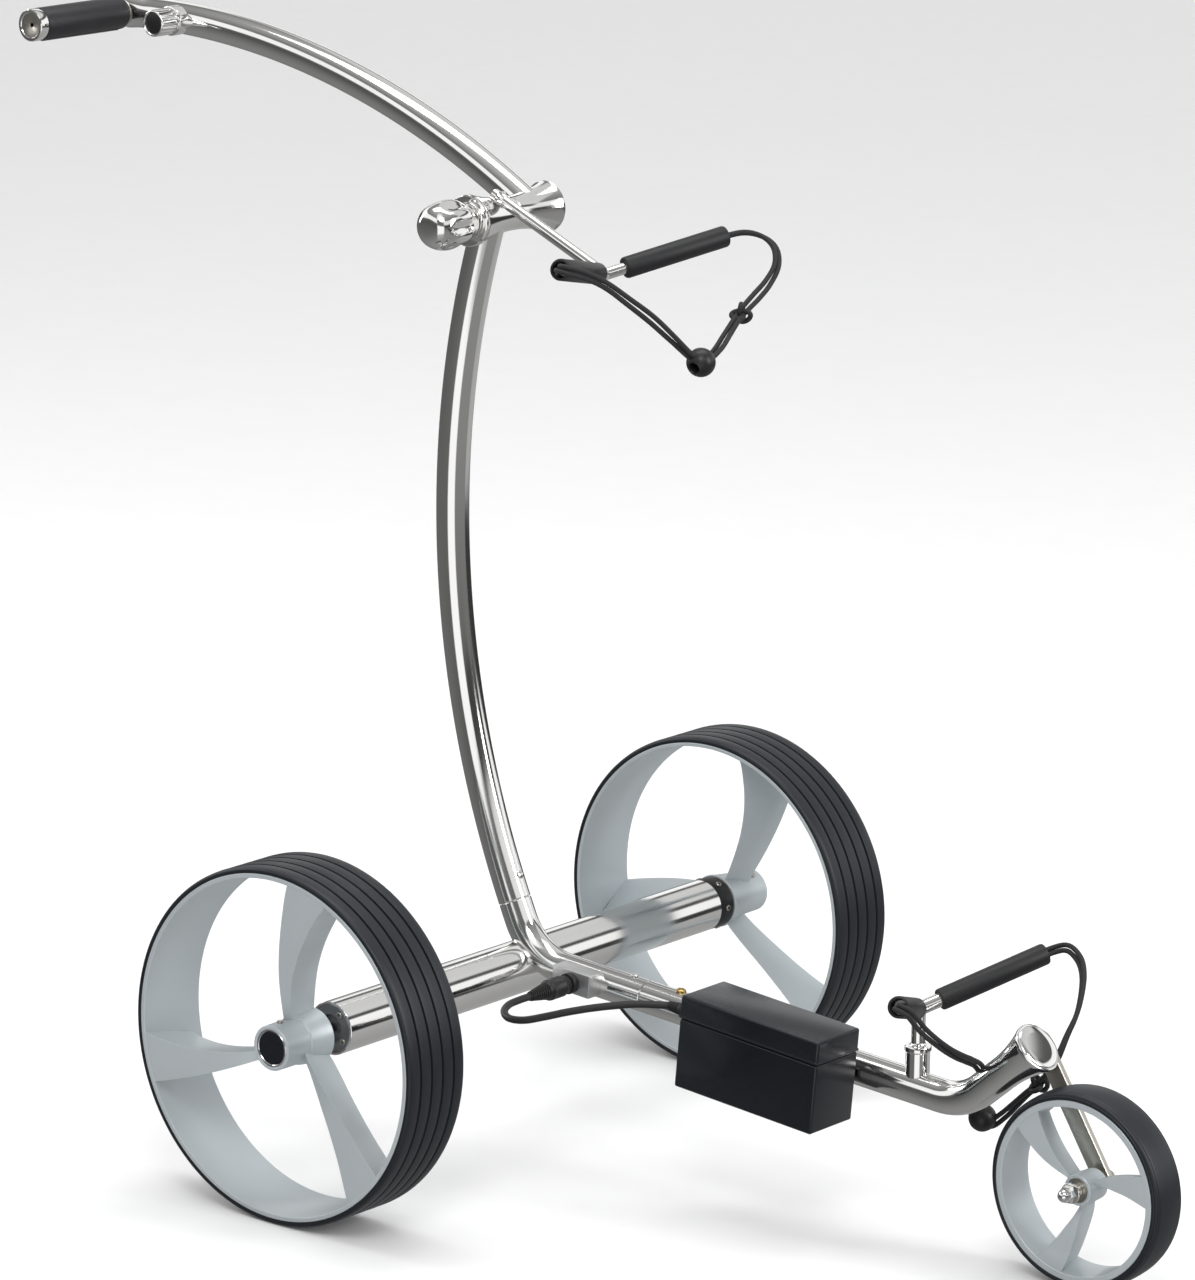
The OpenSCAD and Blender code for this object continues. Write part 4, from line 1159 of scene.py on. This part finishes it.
@dataclass
class Mast:
    """The lower mast, its half of the joint, the clamp knob and the upper cradle."""

    tube_r: float = 14.0
    seam_angle: float = 204.27

    def tube(self) -> None:
        """Makes the lower mast."""
        line = arc_points(MAST_CENTRE, BIG_BEND, 162.2, self.seam_angle - 0.04, 72)
        line.append(arc_points(MAST_CENTRE, BIG_BEND, self.seam_angle, self.seam_angle, 1)[0])
        shape = Shape()
        shape.sweep(line, [self.tube_r] * (len(line) - 1) + [self.tube_r - 0.45], sides=64)
        piece("mast_tube", shape, Fit("mast", "polished_steel", ("lower_mast",)), POLISHED)

    def button(self) -> None:
        """Makes the snap button on the mast."""
        a = math.radians(self.seam_angle - 1.37)
        at = Vector((MAST_CENTRE[0] + BIG_BEND * math.cos(a), 0, MAST_CENTRE[2] + BIG_BEND * math.sin(a)))
        shape = Shape()
        shape.lathe(SNAP_OUTLINE, at, (-math.cos(a), 0, -math.sin(a)), 28)
        piece("mast_snap_button", shape, Fit("mast_snap", "polished_steel", ("mast_button",)), POLISHED)

    def joint(self) -> None:
        """Makes the near barrel with its collar."""
        out = barrel_profile(48)
        out += [(21.6, 48.5), (21.3, 49.2), (19.8, 49.4), (19.6, 49.9), (19.6, 50.4), (20.6, 50.8), (21.5, 51.4),
                (21.5, 53.2), (20.6, 54.0), (0.0, 54.0)]
        shape = Shape()
        shape.lathe(out, (HINGE.x, SEAM_Y - 0.15, HINGE.z), (0, -1, 0), 96)
        piece("joint_near_barrel", shape, Fit("mast", "polished_steel", ("near_barrel",)), POLISHED)

    def knob(self) -> None:
        """Makes the fluted clamp knob."""
        half, wide, steps = 24.8, 21.0, 32
        shape = Shape()
        outline = []
        for i in range(steps + 1):
            a = math.pi * i / steps
            body = min(wide * math.sin(a) ** 0.62, wide)
            outline.append((max(body, 15.5) if 24 <= i < 31 else body, -half * math.cos(a)))
        outline = [(r, h) for r, h in outline if h < half - 1.2] + [(14.6, half - 0.6), (0.0, half - 0.4)]
        shape.lathe(outline, (0, 0, 0), (0, 0, 1), 144)
        for v in shape.bm.verts:
            a = math.atan2(v.co.y, v.co.x)
            r = math.hypot(v.co.x, v.co.y)
            t = (v.co.z + half) / (2 * half)
            rise, fall = (max(0.0, min(1.0, q)) for q in ((t - 0.14) / 0.3, (0.94 - t) / 0.2))
            window = rise * rise * (3 - 2 * rise) * fall * fall * (3 - 2 * fall)
            flute = (0.5 + 0.5 * math.cos(6 * a)) ** 1.4
            if r > 1:
                scale = (r - 3.2 * flute * window) / r
                v.co.x *= scale
                v.co.y *= scale
        shape.lay_along_y((HINGE.x, -53.4, HINGE.z))
        piece("clamp_hand_knob", shape, Fit("clamp", "polished_steel", ("clamp_knob",)), POLISHED, sharp=60)

    def cradle(self) -> None:
        """Makes the upper cradle."""
        rod = Shape()
        rod.sweep([Vector((-36, 0, 808)), Vector((83, 0, 755))], 5.0, sides=40)
        rod.lathe([(5.0, -1), (6.8, 0.6), (6.0, 2.2), (5.4, 4.2), (5.0, 7.0)], (-30.6, 0, 805.6),
                  Vector((119, 0, -53)).normalized(), 40)
        piece("upper_cradle_rod", rod, Fit("mast", "polished_steel", ("upper_rod",)), POLISHED)
        Cradle("upper_cradle", "mast", (83, 0, 755), (124, 107, 778), 5.0, ("upper_arms", "upper_sleeves")).build()

    def build(self) -> None:
        """Makes all of it."""
        self.tube()
        self.button()
        self.joint()
        self.knob()
        self.cradle()


# ---------------------------------------------------------------- handle


@dataclass
class Handle:
    """The upper mast with its half of the joint, cap, grip and speed knob."""

    tube_r: float = 14.0
    grip_at: Point = (-494, 0, 912)
    speed_at: Point = (-431, 0, 911)

    def tube(self) -> None:
        """Makes the upper mast with its flared top end."""
        line = arc_points(HANDLE_CENTRE, BIG_BEND, 58.1, 90, 60)
        radii = [self.tube_r] * len(line)
        tilt = math.radians(175)
        way = Vector((math.cos(tilt), 0, math.sin(tilt)))
        top = line[-1].copy()
        flare = ((4, 14.1), (8, 14.5), (12, 15.0), (16, 15.6), (20, 16.4), (24, 17.2), (25.6, 17.5), (26, 17.2))
        for h, r in flare:
            line.append(top + way * h)
            radii.append(r)
        shape = Shape()
        shape.sweep(line, radii, sides=64)
        piece("handle_tube", shape, Fit("handle", "polished_steel", ("upper_mast",)), POLISHED)
        cap = Shape()
        cap.lathe([(0, 26.2), (17.0, 26.2), (17.5, 26.8), (17.5, 43), (17.1, 45.5), (16, 48), (14, 50), (11, 51.4),
                   (6, 52), (0, 52.1)], top, way, 64)
        piece("handle_cap", cap, Fit("handle", "gloss_black", ("mast_cap",)), GLOSS_BLACK)

    def joint(self) -> None:
        """Makes the far barrel with its bolt and end disc."""
        shape = Shape()
        out = barrel_profile(47)
        out += [(21.7, 47.4), (21.4, 47.9), (20.9, 48.0), (20.4, 47.6), (19.6, 47.6), (18.9, 47.9), (0, 48.0)]
        shape.lathe(out, (HINGE.x, SEAM_Y + 0.15, HINGE.z), (0, 1, 0), 96)
        shape.lathe([(0, 0), (5, 0), (5, 84), (0, 84)], (HINGE.x, -57.8, HINGE.z), (0, 1, 0), 32)
        piece("joint_far_barrel", shape, Fit("handle", "polished_steel", ("far_barrel",)), POLISHED)

    def grip(self) -> None:
        """Makes the leather grip, its stitches, rivet and end cap."""
        x, _, z = self.grip_at
        r = 14.25
        sleeve = Shape()
        sleeve.lathe([(11.2, 34), (r - 2.4, 34), (r - 1.0, 33.2), (r - 0.2, 31.6), (r, 29.5), (r, -66.2),
                      (r - 0.4, -67.4), (r - 1.2, -68), (11.2, -68), (11.2, 34)], (x, 0, z), (0, 1, 0), 96)
        piece("grip_leather_sleeve", sleeve, Fit("handle", "grip_leather", ("grip_sleeve",)), LEATHER, sharp=50)
        seam = Shape()
        count, a = 34, math.radians(-85.5)
        for i in range(count):
            y = -64 + 92 * i / (count - 1)
            end = Vector((x + (r + 0.1) * math.cos(a), y + 1.6, z + (r + 0.1) * math.sin(a)))
            for b in (a - 0.11, a + 0.11):
                start = Vector((x + (r + 0.25) * math.cos(b), y, z + (r + 0.25) * math.sin(b)))
                seam.sweep([start, (start + end) / 2 + Vector((0, 0, -0.25)), end], 0.42, sides=6)
        piece("grip_stitches", seam, Fit("handle", "grip_leather"), THREAD)
        dots = Shape()
        count = 40
        for a in (math.radians(-62), math.radians(-118)):
            for i in range(count):
                y = -62 + 88 * i / (count - 1)
                dots.lathe([(0, 0.35), (0.5, 0.35), (0.75, 0.1), (0.8, -0.4), (0, -0.4)],
                           (x + r * math.cos(a), y, z + r * math.sin(a)), (math.cos(a), 0, math.sin(a)), 8)
        piece("grip_studs", dots, Fit("handle", "grip_leather"), BLACK)
        cap = Shape()
        cap.lathe([(10.6, -74), (10.6, -77.2), (11.2, -77.8), (13.2, -78), (13.9, -77.4), (13.9, -69.0),
                   (13.6, -68.4), (13.2, -68.2), (0, -68.2)], (x, 0, z), (0, 1, 0), 96)
        piece("grip_cap", cap, Fit("handle", "polished_steel", ("grip_end_cap",)), POLISHED)
        cone = Shape()
        cone.lathe([(0, -72.6), (1.9, -72.6), (1.9, -75.6), (2.3, -75.9), (10.7, -77.2), (10.7, -72.6), (0, -72.6)],
                   (x, 0, z), (0, 1, 0), 96)
        piece("grip_cap_face", cone, Fit("handle", "brushed_steel"), SATIN_STEEL)

    def speed(self) -> None:
        """Makes the speed knob and its foot."""
        x, _, z = self.speed_at
        foot = Shape()
        foot.lathe([(3.2, 29.6), (11.8, 29.6), (12.8, 30.2), (13.0, 31.2), (13.0, 40), (3.2, 40)], (x, 0, z),
                   (0, 1, 0), 72)
        piece("speed_foot", foot, Fit("handle", "polished_steel", ("speed_bezel",)), POLISHED)
        knob = Shape()
        knob.lathe([(0, 9.6), (9.2, 9.6), (9.4, 9.0), (10.2, 8.2), (11.0, 8.3), (11.5, 8.9), (11.75, 10.2),
                    (11.75, 26.5), (11.4, 28.2), (10.6, 29.2), (3.0, 29.2), (3.0, 43), (0, 43)], (0, 0, 0),
                   (0, 0, 1), 144)
        for v in knob.bm.verts:
            r = math.hypot(v.co.x, v.co.y)
            if r > 10.8 and 9.8 < v.co.z < 28.6:
                dip = 0.9 * (0.5 - 0.5 * math.cos(18 * math.atan2(v.co.y, v.co.x))) ** 0.7
                v.co.x *= (r - dip) / r
                v.co.y *= (r - dip) / r
        knob.lay_along_y((x, 0, z))
        piece("speed_dial", knob, Fit("speed_control", "polished_steel", ("speed_knob",)), POLISHED, sharp=45)
        face = Shape()
        face.lathe([(0, 9.0), (8.4, 9.0), (8.9, 9.3), (8.9, 9.7), (0, 9.7)], (x, 0, z), (0, 1, 0), 64)
        piece("speed_face", face, Fit("speed_control", "matte_black"), BLACK)

    def build(self) -> None:
        """Makes all of it."""
        self.tube()
        self.joint()
        self.grip()
        self.speed()


# ---------------------------------------------------------------- chassis

SOCKET_AT = (76, 0, 155.5)
FRONT_AXLE = (586, 0, 81.5)


@dataclass
class Chassis:
    """Axle, frame tube, front beam, battery, plug, fork and lower cradle."""

    tube_r: float = 14.0
    slope: float = -4.2
    beam_seam: float = 138.0

    def beam_z(self, x: float) -> float:
        """Height of the beam's middle line."""
        return 159.6 + x * math.tan(math.radians(self.slope))

    def on_beam(self, x: float) -> Matrix:
        """The beam's own frame at x, with its X along the beam."""
        return Matrix.Translation((x, 0, self.beam_z(x))) @ Matrix.Rotation(math.radians(-self.slope), 4, "Y")

    def bend(self, start: Vector, heading: float, corner: Vector, radius: float, turn: float, end: Vector
             ) -> list[Vector]:
        """A line that runs to a corner, turns there on an arc and runs on.

        Args:
            start: Its first point.
            heading: Its first direction, in degrees from +X towards +Z.
            corner: The corner.
            radius: The arc's radius.
            turn: How far it turns, in degrees.
            end: Its last point.

        Returns:
            Its points.
        """
        a = math.radians(heading)
        back = radius * math.tan(math.radians(turn) / 2)
        into = corner - Vector((math.cos(a), 0, math.sin(a))) * back
        centre = into + Vector((-math.sin(a), 0, math.cos(a))) * radius
        return [start, *arc_points(centre, radius, heading - 90, heading - 90 + turn, 28), end]

    def tubes(self) -> None:
        """Makes the frame tube and the front beam."""
        seam = Vector((-7.74, 0, 205.66))
        corner = Vector((13.56, 0, self.beam_z(13.56)))
        end = Vector((self.beam_seam - 0.3, 0, self.beam_z(self.beam_seam)))
        line = self.bend(seam, -65.7, corner, 60, 61.5, end)
        first, last = line[0], line[-1]
        line = [first, first + (line[1] - first).normalized() * 0.5, *line[1:-1],
                last + (line[-2] - last).normalized() * 0.5, last]
        shape = Shape()
        shape.sweep(line, [self.tube_r - 0.45, *[self.tube_r] * (len(line) - 2), self.tube_r - 0.45], sides=64)
        piece("frame_bend", shape, Fit("chassis", "polished_steel", ("frame_tube",)), POLISHED)
        beam_corner = Vector((465.1, 0, 125.5))
        start = Vector((self.beam_seam, 0, self.beam_z(self.beam_seam)))
        rise = math.radians(41)
        up = Vector((math.cos(rise), 0, math.sin(rise)))
        flare_start = beam_corner + up * 49.3
        line = self.bend(start, self.slope, beam_corner, 55, 45.2, flare_start)
        line = [start, start + (line[1] - start).normalized() * 0.5, *line[1:]]
        radii = [self.tube_r - 0.45] + [self.tube_r] * (len(line) - 1)
        for i in range(1, 15):
            t = i / 14
            line.append(flare_start + up * 41 * t)
            radii.append(self.tube_r + 7.0 * t ** 2.0)
        shape = Shape()
        shape.sweep(line, radii, sides=72)
        piece("beam_and_head", shape, Fit("chassis", "polished_steel", ("front_beam",)), POLISHED)
        cap = Shape()
        cap.lathe([(0, 90.0), (21.0, 90.0), (21.3, 90.8), (21.3, 93.2), (20.9, 94.1), (20.2, 94.4), (19.2, 94.2),
                   (18.8, 94.6), (18.2, 95.0), (12, 95.3), (0, 95.5)], beam_corner, up, 96)
        piece("head_disc", cap, Fit("chassis", "polished_steel", ("head_cap",)), POLISHED)

    def axle(self) -> None:
        """Makes the axle tube, its end pieces and their screws."""
        r = 22.5
        tube = Shape()
        tube.lathe([(r - 2, -243), (r - 0.4, -243), (r, -242.6), (r, 245.6), (r - 0.4, 246), (r - 2, 246),
                    (r - 2, -243)], (0, 0, 150), (0, 1, 0), 128)
        piece("axle_pipe", tube, Fit("chassis", "polished_steel", ("axle_tube",)), POLISHED)
        ring = Shape()
        ring.lathe([(5.2, 246.2), (r - 0.2, 246.2), (r, 246.6), (r, 262.8), (r - 1.0, 264), (12.4, 264),
                    (11.6, 263), (11.6, 258), (5.2, 258), (5.2, 246.2)], (0, 0, 150), (0, 1, 0), 96)
        piece("left_end_ring", ring, Fit("chassis", "matte_black", ("left_flange",)), BLACK)
        plate = Shape()
        plate.lathe([(5.2, -223), (r - 2.1, -223), (r - 2.1, -242.6), (r - 2.6, -243.2), (12.4, -243.2), (12, -242.8),
                     (12, -236.5), (5.2, -236.5), (5.2, -223)], (0, 0, 150), (0, 1, 0), 96)
        piece("right_end_plate", plate, Fit("chassis", "brushed_steel", ("right_flange",)), CAST)
        screws = Shape()
        for a in range(0, 360, 60):
            t = math.radians(a)
            out = Vector((math.cos(t), 0, math.sin(t)))
            self.screw(screws, Vector((0, 255, 150)) + out * r, out, 2.6)
        for a in range(35, 360, 90):
            t = math.radians(a)
            self.screw(screws, Vector((16 * math.sin(t), -243.2, 150 + 16 * math.cos(t))), (0, -1, 0), 2.8)
        for y in (-235, 238):
            self.screw(screws, Vector((0, y, 150 - r)), (0, 0, -1), 3.6)
        piece("end_screws", screws, Fit("chassis", "brushed_steel", ("flange_screws",)), SATIN_STEEL)

    def screw(self, shape: Shape, at: Vector, along: Point, r: float) -> None:
        """Adds a low screw head with a hexagon socket.

        Args:
            shape: The shape to add it to.
            at: Where its head meets the surface.
            along: Which way it looks.
            r: The head's radius.
        """
        shape.lathe([(0, -1.6), (r, -1.6), (r, 0.5), (r - 0.4, 0.95), (r * 0.55, 1.0)], at, along, 24)
        shape.lathe([(r * 0.55, 1.0), (r * 0.5, -0.6), (0, -0.7)], at, along, 6)

    def plug(self) -> bpy.types.Object:
        """Makes the socket block, socket, plug and the battery's gland.

        Returns:
            The plug.
        """
        block = Shape()
        block.box((40, 18, 20), Matrix.Translation((76, -18, 156.3)) @ Matrix.Rotation(
            math.radians(-self.slope), 4, "Y"), bevel=0.7)
        piece("socket_mount", block, Fit("chassis", "block_aluminium", ("socket_block",)), ALUMINIUM)
        socket = Shape()
        socket.lathe([(5, -24), (5, -32.4), (7.6, -32.6), (8.8, -32.2), (9.0, -31.4), (9.0, -28), (8.2, -27.2),
                      (6.9, -27), (6.9, -22.4), (0, -22.4)], SOCKET_AT, (0, 1, 0), 64)
        piece("socket_ring", socket, Fit("chassis", "matte_black", ("power_socket",)), BLACK)
        body = Shape()
        out = [(0, -25), (4.9, -25), (4.9, -32.7), (7.4, -32.8), (7.6, -33.4), (7.6, -38.2), (8.4, -39.2),
               (9.0, -40.2)]
        out += [(9.0 - 0.35 * (i % 2), -42 - i * 1.1) for i in range(10)]
        out += [(9.1, -54), (8.9, -56.4), (7.6, -58)]
        for i in range(9):
            y = -59.2 - i * 2.3
            r = 7.2 - i * 0.36
            out += [(r, y), (r, y - 1.2), (r - 0.9, y - 1.4), (r - 0.9, y - 2.1)]
        out += [(3.5, -81.2), (0, -81.2)]
        body.lathe(out, SOCKET_AT, (0, 1, 0), 64)
        plug = piece("lead_plug", body, Fit("chassis", "matte_black", ("power_plug",)), BLACK)
        gland = Shape()
        way = Matrix.Rotation(math.radians(5), 4, "Y").to_3x3() @ Vector((1, 0, 0))
        out = [(3.3, 0), (3.9, 0)]
        for i in range(5):
            out += [(4.0 + i * 0.25, 1.2 + i * 2.0), (4.0 + i * 0.25, 2.3 + i * 2.0), (3.7 + i * 0.22, 2.4 + i * 2.0),
                    (3.7 + i * 0.22, 3.1 + i * 2.0)]
        out += [(5.4, 12.2), (5.6, 13.0), (5.6, 18.6), (5.0, 20.2), (3.3, 20.2), (3.3, 0)]
        gland.lathe(out, (208.7, -60, 169.9), way, 48)
        piece("battery_gland", gland, Fit("chassis", "matte_black", ("lead_gland",)), BLACK)
        return plug

    def battery(self) -> None:
        """Makes the battery's case, lid and bracket."""
        here = Matrix.Translation((297.5, -44, 140)) @ Matrix.Rotation(math.radians(5), 4, "Y")
        case = Shape()
        case.box((141.4, 55.4, 59.0), here @ Matrix.Translation((0, 0, -10.2)), bevel=1.8, segments=4)
        piece("battery_box", case, Fit("chassis", "gloss_black", ("battery_case",)), GLOSS_BLACK)
        lid = Shape()
        lid.box((142, 56, 20), here @ Matrix.Translation((0, 0, 29.75)), bevel=2.2, segments=5)
        lid.box((142.6, 56.6, 2.2), here @ Matrix.Translation((0, 0, 21.2)), bevel=0.8)
        piece("battery_cover", lid, Fit("chassis", "gloss_black", ("battery_lid",)), GLOSS_BLACK)
        bracket = Shape()
        bracket.box((60, 11, 24), Matrix.Translation((297.5, -11.5, self.beam_z(297.5))), bevel=1.2)
        piece("battery_mount", bracket, Fit("chassis", "matte_black", ("battery_bracket",)), BLACK)

    def details(self) -> None:
        """Makes the beam's screw and snap button."""
        top = self.on_beam(self.beam_seam + 34 * math.cos(math.radians(self.slope)))
        head = Shape()
        head.lathe([(0, 10), (4.5, 10), (4.5, 14.6), (4.1, 15.7), (3.0, 16.4), (1.2, 16.7), (0, 16.7)],
                   top.translation, top.to_3x3() @ Vector((0, 0, 1)), 32)
        for size in ((5.2, 0.9, 1.6), (0.9, 5.2, 1.6)):
            head.box(size, top @ Matrix.Translation((0, 0, 16.0)))
        piece("beam_cross_screw", head, Fit("chassis", "screw_brass", ("beam_screw",)), BRASS)
        place = self.on_beam(self.beam_seam - 16 * math.cos(math.radians(self.slope)))
        button = Shape()
        button.lathe(SNAP_OUTLINE, place.translation, place.to_3x3() @ Vector((0, 0, 1)), 28)
        piece("beam_snap_button", button, Fit("beam_snap", "polished_steel", ("beam_button",)), POLISHED)

    def fork(self) -> None:
        """Makes the fork leg, the front axle and its nut."""
        top, low = Vector((522, 0, 184)), Vector(FRONT_AXLE)
        way = (low - top).normalized()
        turn = math.atan2(way.z, way.x)
        outline = []
        for centre, start in ((0.0, 90), ((low - top).length, -90)):
            for k in range(17):
                a = math.radians(start + 180 * k / 16)
                outline.append((centre + 8 * math.cos(a), 8 * math.sin(a)))
        flat = Matrix(((math.cos(turn), -math.sin(turn), 0, top.x), (0, 0, 1, 21.4),
                       (math.sin(turn), math.cos(turn), 0, top.z), (0, 0, 0, 1)))
        leg = Shape()
        leg.plate(outline, 6.0, flat, bevel=0.8)
        leg.lathe([(0, 10), (7, 10), (7, 21.6), (0, 21.6)], (524, 0, 176), (0, 1, 0), 32)
        piece("fork_bar", leg, Fit("chassis", "brushed_steel", ("fork_leg",)), SATIN_STEEL)
        axle = Shape()
        axle.lathe([(0, -30), (3.9, -30), (3.9, 12.8), (6, 12.8), (6, 21.4), (3.9, 21.4), (3.9, 27.5), (6.2, 27.5),
                    (6.5, 27.9), (6.5, 31.8), (5.9, 32.4), (0, 32.4)], FRONT_AXLE, (0, 1, 0), 40)
        piece("front_axle_pin", axle, Fit("chassis", "brushed_steel", ("front_axle",)), SATIN_STEEL)
        nut = Shape()
        nut.lathe([(4, -12.9), (5.5, -12.9), (5.5, -20.4), (8.3, -20.5), (8.5, -20.8), (8.5, -21.8), (8.2, -22),
                   (4, -22)], FRONT_AXLE, (0, 1, 0), 40)
        nut.lathe([(4, -22.0), (6.6, -22.0), (7.4, -22.6), (7.4, -27.6), (6.6, -28.4), (4, -28.4)], FRONT_AXLE,
                  (0, 1, 0), 6)
        dome = [(5.9 * math.cos(a), -28.6 - 6.9 * math.sin(a)) for a in (math.pi / 2 * i / 12 for i in range(13))]
        nut.lathe([(4, -28.2), (5.9, -28.2), *dome], FRONT_AXLE, (0, 1, 0), 40)
        piece("front_dome_nut", nut, Fit("chassis", "polished_steel", ("axle_nut",)), POLISHED)

    def cradle(self) -> None:
        """Makes the lower cradle with its post."""
        post = Shape()
        post.lathe([(0, 129), (10, 129), (10, 159.6), (10.6, 160.2), (11, 160.8), (11, 164), (10.4, 165),
                    (7.2, 165.2), (6.1, 166.4), (5.75, 168), (5.75, 190), (5.75, 195), (0, 197)],
                   (418, 0, 0), (0, 0, 1), 56)
        piece("lower_cradle_post", post, Fit("chassis", "polished_steel", ("cradle_post",)), POLISHED)
        Cradle("lower_cradle", "chassis", (418, 0, 195), (471, 100, 230), 5.75,
               ("lower_arms", "lower_sleeves")).build()

    def build(self) -> None:
        """Makes all of it but the plug, which comes with the cords."""
        self.tubes()
        self.axle()
        self.battery()
        self.details()
        self.fork()
        self.cradle()


# ---------------------------------------------------------------- hidden CAD nodes and the whole


HIDDEN_FINISHES: dict[str, Finish] = {
    "mast_spigot": SATIN_STEEL, "beam_spigot": SATIN_STEEL, "controller": BOARD, "left_motor": CAST,
    "right_motor": CAST, "left_gearbox": CAST, "right_gearbox": CAST, "battery_cells": CELL_WRAP,
    "front_bearings": SATIN_STEEL, "grip_core": SATIN_STEEL, "speed_sensor": BLACK,
}


def dress_nodes() -> None:
    """Gives each CAD node that stays, inside the trolley, its finish."""
    for name, finish in HIDDEN_FINISHES.items():
        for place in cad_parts[name].material_slots:
            place.material = finish.material()
        LOG.info("%s: finished as %s", name, finish.name)


def main() -> None:
    logging.basicConfig(level=logging.INFO, format="%(name)s: %(message)s")
    Studio().build()
    chassis = Chassis()
    Cords().build(chassis.plug())
    RearWheel("right_wheel", "right_wheel", (0, -316, 150), -1, ("right_rim", "right_tyre", "right_shaft")).build()
    RearWheel("left_wheel", "left_wheel", (0, 316, 150), 1, ("left_rim", "left_tyre", "left_shaft")).build()
    FrontWheel("front_wheel", "front_wheel", (586, -19, 81.5), -1, ("front_rim", "front_tyre")).build()
    chassis.build()
    Mast().build()
    Handle().build()
    dress_nodes()


if __name__ == "__main__":
    main()
